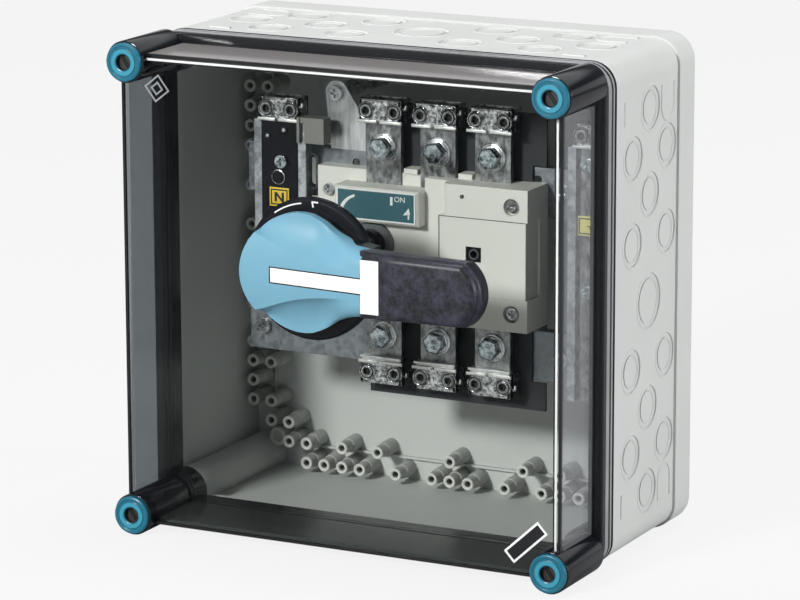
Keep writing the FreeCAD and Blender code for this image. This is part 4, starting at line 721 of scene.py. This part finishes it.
def clamp_set(parts, x, z, width, side):
    """Box clamp with its two socket screws, and the lips and tab on it; side is 1 where the
    switch lies below the clamp and -1 where it lies above."""
    frames, screws, ledges, holes = (parts[key] for key in ("frames", "screws", "ledges", "holes"))
    half = width / 2 + 0.1
    outer = half + CLAMP_WALL
    low, high = z - CLAMP_HALF, z + CLAMP_HALF
    frames.box(-outer + x, -half + x, CLAMP_BACK, CLAMP_FRONT, low, high, 0.35)
    frames.box(half + x, outer + x, CLAMP_BACK, CLAMP_FRONT, low, high, 0.35)
    frames.box(-outer + x, outer + x, CLAMP_BACK, CLAMP_FLOOR, low, high, 0.2)
    inset = width / 2 - 2.3
    places = (x - inset, x + inset)
    frames.plate([[(x - outer, low), (x + outer, low), (x + outer, high), (x - outer, high)]]
                 + [circle(sx, z, 2.3, 20) for sx in places], BAR_FRONT + 0.1, CLAMP_FRONT, 0.3)
    for sx in places:
        frames.lathe(sx, z, CLAMP_COLLAR_PROFILE, 28)
        screws.lathe(sx, z, CLAMP_SCREW_PROFILE, 28)
        screws.lathe(sx, z, CLAMP_SOCKET_PROFILE, 6)
        # Socket bottoms and the gap round each collar painted black as shade.
        holes.lathe(sx, z, CLAMP_HOLE_PROFILE, 6)
        holes.lathe(sx, z, CLAMP_GAP_PROFILE, 28)
    near, far = z - side * 7.4, z - side * 5.4
    # Lips in lighter zinc: real lips with a painted highlight.
    for x0, x1 in ((x - outer - 0.9, x - 1.6), (x + 0.2, x + outer + 0.9)):
        ledges.plate([[(x0, near), (x1, near), (x1, far), (x0, far)]], 92.0, 94.0, 0.35)
    if side < 0:
        ledges.box(x - outer, x + outer, 92.0, 93.6, z + 8.4, z + 10.0, 0.35)
        ledges.box(x - outer + 1.0, x + outer - 1.0, 88.1, 92.3, z + 6.8, z + 9.9, 0.2)
    tab = z + side * 1.6
    ledges.box(x + outer - 0.2, x + outer + 2.6, 88.4, 90.6, tab - 0.7, tab + 0.7, 0.3)
    ledges.box(x + outer + 1.4, x + outer + 2.6, 88.4, 90.6, tab - 0.7, tab + 2.4, 0.3)


def make_clamps():
    """Clamps of the line and load bars in sets of three, and of the neutral and earth bars."""
    sets = []
    for side, name, screws_node in ((1, "line", "clamp_screws"), (-1, "load", None)):
        rows = (("frames", name + "_clamps", "bright", name + "_clamp_frames"),
                ("ledges", name + "_clamp_ledges", "ledge", None),
                ("holes", name + "_clamp_holes", "ink", None),
                ("screws", name + "_clamp_sockets", "steel", screws_node))
        sets.append((rows, [(x, AXIS_Z + side * CLAMP_REACH, BAR_WIDTH, side) for x in POLES]))
    for name, x in (("neutral", NEUTRAL_X), ("earth", EARTH_X)):
        rows = (("ledges", name + "_box_clamp_ledges", "ledge", None),
                ("holes", name + "_box_clamp_holes", "ink", None),
                ("frames", name + "_box_clamp", "bright", name + "_clamp"),
                ("screws", name + "_sockets", "steel", name + "_clamp_screw"))
        sets.append((rows, [(x, SIDE_CLAMP_Z, SIDE_CLAMP_WIDTH, 1)]))
    for rows, places in sets:
        parts = {part: Mould() for part, name, key, node in rows}
        for place in places:
            clamp_set(parts, *place)
        for part, name, key, node in rows:
            shown = parts[part].piece(name, "enclosure", key, "zinc_clamp")
            if node:
                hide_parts(node)


# Labels and seams

def make_indicator():
    """Indicator plate with a border, the word ON, a bar, a swung stroke and an arrow."""
    x, z, width, height = INDICATOR_X, INDICATOR_Z, INDICATOR_WIDTH, INDICATOR_HEIGHT
    border = Mould()
    border.plate([rectangle(x, z, width, height), rectangle(x, z, width - 1.8, height - 1.8)],
                 104.0, 104.7)
    border.piece("label_border", "enclosure", "mark", "label_teal")
    panel = Mould()
    panel.plate([rectangle(x, z, width - 1.7, height - 1.7)], 104.0, 104.6)
    panel = panel.piece("label_panel", "enclosure", "label", "label_teal")
    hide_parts("indicator_label")
    marks = Mould()
    back, front = 104.55, 104.75
    marks.box(x + 9.6, x + 11.2, back, front, z + 1.2, z + 6.2)
    marks.text("ON", x + 15.9, z + 4.9, 4.6, back, front)
    first, step, steps = 172.0, -7.0, 10
    outer = arc(x - 11.0, z - 8.0, 14.0, first, first + step * steps, steps)
    inner = [(x - 11.6 + (11.0 + 0.16 * i) * math.cos(math.radians(first + step * i)),
              z - 8.6 + (11.4 + 0.16 * i) * math.sin(math.radians(first + step * i)))
             for i in range(steps + 1)]
    marks.plate([outer + inner[::-1]], back, front)
    marks.plate([[(x + 18.0, z - 4.2), (x + 21.8, z + 0.4), (x + 22.8, z - 3.4)]], back, front)
    marks.box(x + 21.2, x + 22.2, back, front, z - 6.4, z - 2.6)
    marks.piece("label_marks", "enclosure", "mark", "label_teal")


def make_cover_shadow_lines():
    """Painted shadow lines at two edges of the contact cover, and the test contact's ring."""
    low, high = AXIS_Z - 23.2, AXIS_Z + 23.2
    shadow_lines = Mould()
    shadow_lines.box(31.9, 32.5, 103.0, 103.4, low, high)
    shadow_lines.box(32.5, 88.0, 103.0, 103.32, AXIS_Z + 22.7, high)
    shadow_lines.lathe(54.7, 26.7, TEST_HOLE_PROFILE, 28)
    shadow_lines.piece("cover_shadow_lines", "enclosure", "spacer", "black_plastic")


def make_terminal_plates():
    """Yellow plates of the neutral terminal, with an N, and of the earth one, with its sign."""
    letter = ((-3.2, -2.9), (-1.6, -2.9), (-1.6, 0.8), (1.6, -2.9), (3.2, -2.9),
              (3.2, 2.9), (1.6, 2.9), (1.6, -0.8), (-1.6, 2.9), (-3.2, 2.9))
    earth_bars = ((6.0, 47.0), (4.0, 45.8), (2.0, 44.6))
    for name, x, seat, width, key in (("neutral", NEUTRAL_X, 91.6, PLATE_WIDTH, "yellow"),
                                      ("earth", EARTH_X, 88.0, EARTH_PLATE_WIDTH, "pale")):
        x -= (width - PLATE_WIDTH) / 2
        plate = Mould()
        plate.plate([rectangle(x, PLATE_Z, width, 11.6)], seat, seat + 0.7, 0.15)
        plate = plate.piece(name + "_label_plate", "enclosure", key, "label_yellow")
        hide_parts(name + "_label")
        ink = Mould()
        back, front = seat + 0.6, seat + 0.8
        ink.plate([rectangle(x, PLATE_Z, width - 1.8, 9.6),
                   rectangle(x, PLATE_Z, width - 3.4, 8.0)], back, front)
        if name == "neutral":
            ink.plate([[(x + u, PLATE_Z + v) for u, v in letter]], back, front)
        else:
            ink.box(x - 0.4, x + 0.4, back, front, PLATE_Z, 50.2)
            for length, z in earth_bars:
                ink.box(x - length / 2, x + length / 2, back, front, z - 0.35, z + 0.35)
        ink.piece(name + "_label_mark", "enclosure", "ink", "label_yellow")


def make_escutcheon_mark_and_highlight():
    """Painted highlight arc along the black disc's rim, and the printed corner mark."""
    back, front = 175.45, 175.62
    marks = Mould()
    outer, inner = (arc(AXIS_X, AXIS_Z, radius, 98.0, 126.0, 14) for radius in (39.4, 38.6))
    marks.plate([outer + inner[::-1]], back, front)
    marks.plate([rectangle(AXIS_X + 2.0, AXIS_Z + 38.6, 1.0, 3.6, 0.2)], back, front)
    marks.plate([rectangle(AXIS_X + 3.6, AXIS_Z + 40.0, 4.0, 0.9, -0.05)], back, front)
    marks.piece("escutcheon_mark_and_rim_highlight", "lid", "mark", "inlay_white")


# Handle. Here x and z run from the handle's axis.

HUB_RADIUS = 35.5
HUB_LOW = 177.2
HUB_TOP = 202.8
HUB_SLOPE = 0.082
HUB_CROWN = 0.0075
HUB_RIMS = ((1, 187.6), (-1, 185.0))  # upper and lower half
NECK_START = 8.0
NECK_END = 46.4
NECK_RIM = 191.5
NECK_PLATE = 34.0
FAN_START = -25.2
# Half widths at x: of the fan between the two hollows, and of the neck
FAN_EDGE = ((-25.0, 22.6), (-16.0, 19.3), (-7.0, 15.9), (3.5, 12.8), (12.5, 11.0), (24.0, 9.6),
            (36.0, 9.1), (47.0, 8.9))
NECK_LINE = ((8.0, 34.6), (16.0, 31.0), (22.0, 26.6), (30.0, 22.9), (38.0, 20.7), (47.0, 19.5))
SMOOTHING = ((-3, 1), (-2, 2), (-1, 3), (0, 4), (1, 3), (2, 2), (3, 1))
POINTER_STEP = 2.0
POINTER_STEPS = 31
POINTER_SECTION = ((-4.25, 0.7), (-4.25, 0.1), (-4.1, 0.0), (4.1, 0.0), (4.25, 0.1), (4.25, 0.7))
POINTER_EDGE_SECTION = ((-4.9, 0.5), (-4.9, 0.0), (4.9, 0.0), (4.9, 0.5))


def between(points, x):
    """Value at x on a line through the given (x, value) points."""
    if x <= points[0][0]:
        return points[0][1]
    for (x0, v0), (x1, v1) in zip(points, points[1:]):
        if x <= x1:
            t = (x - x0) / (x1 - x0)
            return v0 + (v1 - v0) * t
    return points[-1][1]


def smooth(points, x, reach=2.5):
    """The same line with its corners rounded off."""
    return sum(between(points, x + reach * k / 3) * weight for k, weight in SMOOTHING) / 16.0


def ease(t):
    t = min(1.0, max(0.0, t))
    return t * t * (3.0 - 2.0 * t)


def hub_front(x, z):
    """Depth of the hub's front between the two hollows."""
    return HUB_TOP - HUB_SLOPE * (NECK_END - x) - HUB_CROWN * z * z


def hub_width(x):
    """Half width of the hub at x."""
    disc = math.sqrt(max(0.0, HUB_RADIUS ** 2 - x * x))
    if x < NECK_START:
        return disc
    line = smooth(NECK_LINE, x, 3.0)
    share = ease((x - NECK_START) / 8.0)
    return min(disc if disc > 0.0 else line, line) * (1.0 - share) + line * share


def hub_columns():
    """The x of the hub's sections: close together at its rounded end, then in even steps."""
    columns = [-HUB_RADIUS * math.cos(math.radians(5.0 * k)) for k in range(15)]
    x = columns[-1]
    while x < NECK_END - 1.2:
        x += 1.1
        columns.append(x)
    columns[-1] = NECK_END
    return columns


def hub_section(x, low_rim):
    """(z, depth) points over one half of the hub at x, from the middle to the base."""
    steps = 14
    wide = hub_width(x)
    fan = min(smooth(FAN_EDGE, x), wide) if x > FAN_START else wide
    neck = ease((x - 10.0) / 34.0)
    points = [(fan * k / 6, hub_front(x, fan * k / 6)) for k in range(7)]
    top = points[-1][1]
    rim = low_rim + (NECK_RIM - low_rim) * neck
    if wide - fan < 0.05:
        rim = top
    for k in range(1, steps + 1):
        t = k / steps
        hollow = math.sin(t * math.pi / 2) ** 0.75
        crown = 1.0 - math.sqrt(max(0.0, 1.0 - t ** 2.4))
        drop = hollow * (1.0 - neck) + crown * neck
        points.append((fan + (wide - fan) * t, top + (rim - top) * drop))
    low = HUB_LOW + 5.0 + 7.0 * ease((x - 30.0) / 8.0)
    points.append((wide, low))
    points.append((0.0, low))
    return points


def make_hub():
    hub = Mould()
    middle = (AXIS_X + NECK_END, AXIS_Z, HUB_LOW + 12.0)
    for side, low_rim in HUB_RIMS:
        rows = [[(AXIS_X + x, AXIS_Z + side * z, depth) for z, depth in hub_section(x, low_rim)]
                for x in hub_columns()]
        hub.grid(rows)
        end = rows[-1]
        hub.grid([end[:-1], [middle] * (len(end) - 1)])
    hub = hub.piece("hub_shell", "handle", "blue", "handle_blue", 30.0)
    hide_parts("handle_hub")


def mirrored(upper):
    """Closed loop from its upper half and that half's mirror image below the axis."""
    return upper + [(x, 2 * AXIS_Z - z) for x, z in upper[::-1]]


def make_core():
    """Black base of the handle inside the hub, and its spindle."""
    core = Mould()
    upper = [(AXIS_X + x, AXIS_Z + hub_width(x) - 0.9) for x in hub_columns()[1:]]
    core.plate([mirrored(upper)], 176.0, 183.0)
    neck = [(x, z) for x, z in upper if x > AXIS_X + NECK_PLATE]
    core.plate([mirrored(neck)], 182.0, 189.4, 0.3)
    core.lathe(AXIS_X, AXIS_Z, SPINDLE_PROFILE, 36)
    core = core.piece("core_base", "handle", "black", "black_plastic")
    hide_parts("handle_core")


def grip_outline(start, half, end, tip):
    """Loop of the grip from its start to its end, which is rounded by the radius tip."""
    waist = 70.0
    steps = 24
    centre = end - tip
    first = -math.asin((half - 1.2) / tip)
    loop = [(start, -half), (waist, -half + 0.7)]
    for k in range(steps + 1):
        a = first - 2.0 * first * k / steps
        loop.append((centre + tip * math.cos(a), tip * math.sin(a)))
    loop += [(waist, half - 0.7), (start, half)]
    return [(AXIS_X + x, AXIS_Z + z) for x, z in loop]


def pointer_rows(first, last, proud, section):
    """Rows of points along the hub's front for a strip of the given (z, sink) section."""
    rows = []
    for x in [first + k * POINTER_STEP for k in range(POINTER_STEPS)] + [last]:
        front = hub_front(x, 0.0) + proud
        rows.append([(AXIS_X + x, AXIS_Z + z, front - sink) for z, sink in section])
    return rows


def make_grip():
    """Grip with the white inlay and the dark edge round it."""
    grip = Mould()
    grip.plate([grip_outline(start=44.0, half=19.6, end=120.8, tip=22.6)], 187.0, 199.2, 2.0, 4)
    grip.plate([grip_outline(start=55.6, half=19.3, end=119.0, tip=22.2)], 192.0, HUB_TOP, 3.6, 5)
    grip.box(AXIS_X + 46.6, AXIS_X + 60.0, 190.0, HUB_TOP - 0.3, AXIS_Z - 15.8, AXIS_Z + 15.8, 0.3)
    grip = grip.piece("grip_moulding", "handle", "grip", "black_plastic", 50.0)
    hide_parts("handle_grip")
    inlay = Mould()
    rows = pointer_rows(-14.0, 47.0, 0.13, POINTER_SECTION)
    base = rows[0][0][2]
    inlay.grid([[(x, z, base) for x, z, depth in rows[0]]] + rows)
    inlay.box(AXIS_X + 46.8, AXIS_X + 58.4, HUB_TOP - 0.6, HUB_TOP + 0.13,
              AXIS_Z - 15.6, AXIS_Z + 15.6, 0.12)
    inlay = inlay.piece("pointer_face", "handle", "white", "inlay_white")
    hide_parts("pointer_inlay")
    edge = Mould()
    edge.grid(pointer_rows(-14.9, 47.2, 0.07, POINTER_EDGE_SECTION))
    edge.piece("pointer_edge", "handle", "line", "black_plastic")


make_lid()
make_lid_edges()
make_lid_marks()
make_lid_screws()
make_bosses()
make_hole_collars()
make_knockouts()
make_wall_ribs()
make_neutral_details()
make_bolts()
make_clamps()
make_indicator()
make_cover_shadow_lines()
make_terminal_plates()
make_escutcheon_mark_and_highlight()
make_core()
make_hub()
make_grip()


# CAD nodes that stay, with their materials

NODE_MATERIALS = {
    "enclosure_base": "shell", "lid_gasket": "rubber",
    "rail_upper": "zinc", "rail_lower": "zinc", "rail_pillars": "steel", "rail_screws": "steel",
    "rail_stay": "brushed", "insulating_plate": "board",
    "switch_tray": "beige", "mechanism_cover": "beige", "contact_cover": "beige",
    "cover_screws": "steel", "test_contact": "black",
    "shaft_bearing": "bearing", "shaft_collar": "black",
    "terminal_nuts": "steel", "operating_shaft": "steel", "contact_carrier": "black",
    "moving_contacts": "copper", "escutcheon": "black", "escutcheon_nut": "black",
    "shaft_seal": "rubber", "neutral_clip": "clip", "neutral_cover": "black",
}
for number in (1, 2, 3):
    NODE_MATERIALS["line_bar_%d" % number] = "tinned"
    NODE_MATERIALS["load_bar_%d" % number] = "tinned"
for side in ("neutral", "earth"):
    NODE_MATERIALS[side + "_channel"] = "frosty"
    NODE_MATERIALS[side + "_spacer"] = "spacer"
    NODE_MATERIALS[side + "_bar"] = "tinned"
    NODE_MATERIALS[side + "_screws"] = "chrome"
for node, key in NODE_MATERIALS.items():
    NODES[node].data.materials.clear()
    NODES[node].data.materials.append(M[key])


# Floor, light and camera, in metres

FLOOR_HALF = 12.0
FLOOR_GAP = 0.0002
FLOOR_COLOUR = (0.45, 0.45, 0.45)
FLOOR_GLOW = 0.86
WHITE = (1.0, 1.0, 1.0, 1.0)
SKY_LEFT, SKY_RIGHT = 0.42, 0.04
# Bands that metal and clear parts reflect, by height from 0 below to 1 above
SKY_BANDS = ((0.46, 0.04), (0.54, 0.75), (0.62, 0.75), (0.66, 0.08), (0.74, 0.10), (0.80, 1.0))
LAMPS = (("key", (-0.68, -2.6, 1.2), (0.0, -0.08, 0.0), 0.5, 84.0),
         ("side", (2.75, 0.3, 0.6), (0.0, 0.0, 0.0), 1.0, 50.0),
         ("top", (0.2, 0.35, 2.8), (0.0, 0.0, 0.0), 1.0, 38.0))
CAMERA_PLACE = (1.0811, -2.2126, 0.5384)
YAW = 0.4712
PITCH = 0.2258
ROLL = -0.0030
FOCAL_PIXELS = 4100.2
IMAGE_WIDTH = 800.0
SENSOR_WIDTH = 36.0


def make_floor():
    """Pale floor that keeps the shadow and looks almost white to the camera."""
    size = FLOOR_HALF
    z = -HALF_RIM * MM - FLOOR_GAP
    mesh = bpy.data.meshes.new("floor")
    mesh.from_pydata([(-size, -size, z), (size, -size, z), (size, size, z), (-size, size, z)],
                     [], [(0, 1, 2, 3)])
    floor = bpy.data.objects.new("floor", mesh)
    bpy.context.scene.collection.objects.link(floor)
    mat, nt, out = new_material("floor_pale")
    diffuse = add_node(nt, "BsdfPrincipled", Base_Color=(*FLOOR_COLOUR, 1.0), Roughness=0.9)
    glow = add_node(nt, "Emission", Color=WHITE)
    path = add_node(nt, "LightPath")
    either = add_node(nt, "Math")
    either.operation = "MAXIMUM"
    nt.links.new(path.outputs["Is Camera Ray"], either.inputs[0])
    nt.links.new(path.outputs["Is Transmission Ray"], either.inputs[1])
    share = add_node(nt, "Math")
    share.operation = "MULTIPLY"
    share.inputs[1].default_value = FLOOR_GLOW
    nt.links.new(either.outputs[0], share.inputs[0])
    blend_shaders(nt, share.outputs[0], diffuse.outputs["BSDF"], glow.outputs["Emission"], out)
    mesh.materials.append(mat)


def make_sky():
    """World: white to the camera, bands to glossy rays and a soft slope of light otherwise."""
    world = bpy.data.worlds.new("studio")
    bpy.context.scene.world = world
    world.use_nodes = True
    nt = world.node_tree
    sky = nt.nodes["Background"]
    sky.inputs["Color"].default_value = WHITE
    coords = add_node(nt, "TexCoord")
    axes = add_node(nt, "SeparateXYZ")
    nt.links.new(coords.outputs["Generated"], axes.inputs["Vector"])
    level = spread(nt, axes.outputs["X"], SKY_LEFT, SKY_RIGHT, -0.7, 0.5)
    height = spread(nt, axes.outputs["Z"], 0.0, 1.0, -1.0, 1.0)
    bands = add_node(nt, "ValToRGB")
    elements = bands.color_ramp.elements
    for number, (place, grey) in enumerate(SKY_BANDS):
        element = elements[number] if number < 2 else elements.new(place)
        element.position = place
        element.color = (grey, grey, grey, 1.0)
    nt.links.new(height, bands.inputs["Fac"])
    path = add_node(nt, "LightPath")
    shine = add_node(nt, "Mix")
    nt.links.new(path.outputs["Is Glossy Ray"], shine.inputs["Factor"])
    nt.links.new(level, shine.inputs["A"])
    nt.links.new(bands.outputs["Color"], shine.inputs["B"])
    mix = add_node(nt, "Mix", B=1.0)
    nt.links.new(path.outputs["Is Camera Ray"], mix.inputs["Factor"])
    nt.links.new(shine.outputs["Result"], mix.inputs["A"])
    nt.links.new(mix.outputs["Result"], sky.inputs["Strength"])


def make_lamps():
    for name, place, target, size, power in LAMPS:
        data = bpy.data.lights.new(name, "AREA")
        data.shape = "DISK"
        data.size = size
        data.energy = power
        lamp = bpy.data.objects.new(name, data)
        lamp.location = place
        lamp.rotation_euler = (Vector(target) - Vector(place)).to_track_quat("-Z", "Y").to_euler()
        bpy.context.scene.collection.objects.link(lamp)


def make_camera():
    data = bpy.data.cameras.new("camera")
    data.sensor_width = SENSOR_WIDTH
    data.lens = FOCAL_PIXELS / IMAGE_WIDTH * SENSOR_WIDTH
    data.clip_end = 50.0
    camera = bpy.data.objects.new("camera", data)
    bpy.context.scene.collection.objects.link(camera)
    level = math.cos(PITCH)
    forward = Vector((-math.sin(YAW) * level, math.cos(YAW) * level, -math.sin(PITCH)))
    right = Vector((math.cos(YAW), math.sin(YAW), 0.0))
    up = right.cross(forward)
    side = right * math.cos(ROLL) + up * math.sin(ROLL)
    top = up * math.cos(ROLL) - right * math.sin(ROLL)
    turn = Matrix((side, top, -forward)).transposed().to_4x4()
    camera.matrix_world = Matrix.Translation(CAMERA_PLACE) @ turn
    bpy.context.scene.camera = camera


make_floor()
make_sky()
make_lamps()
make_camera()
bpy.context.scene.view_settings.view_transform = "Standard"
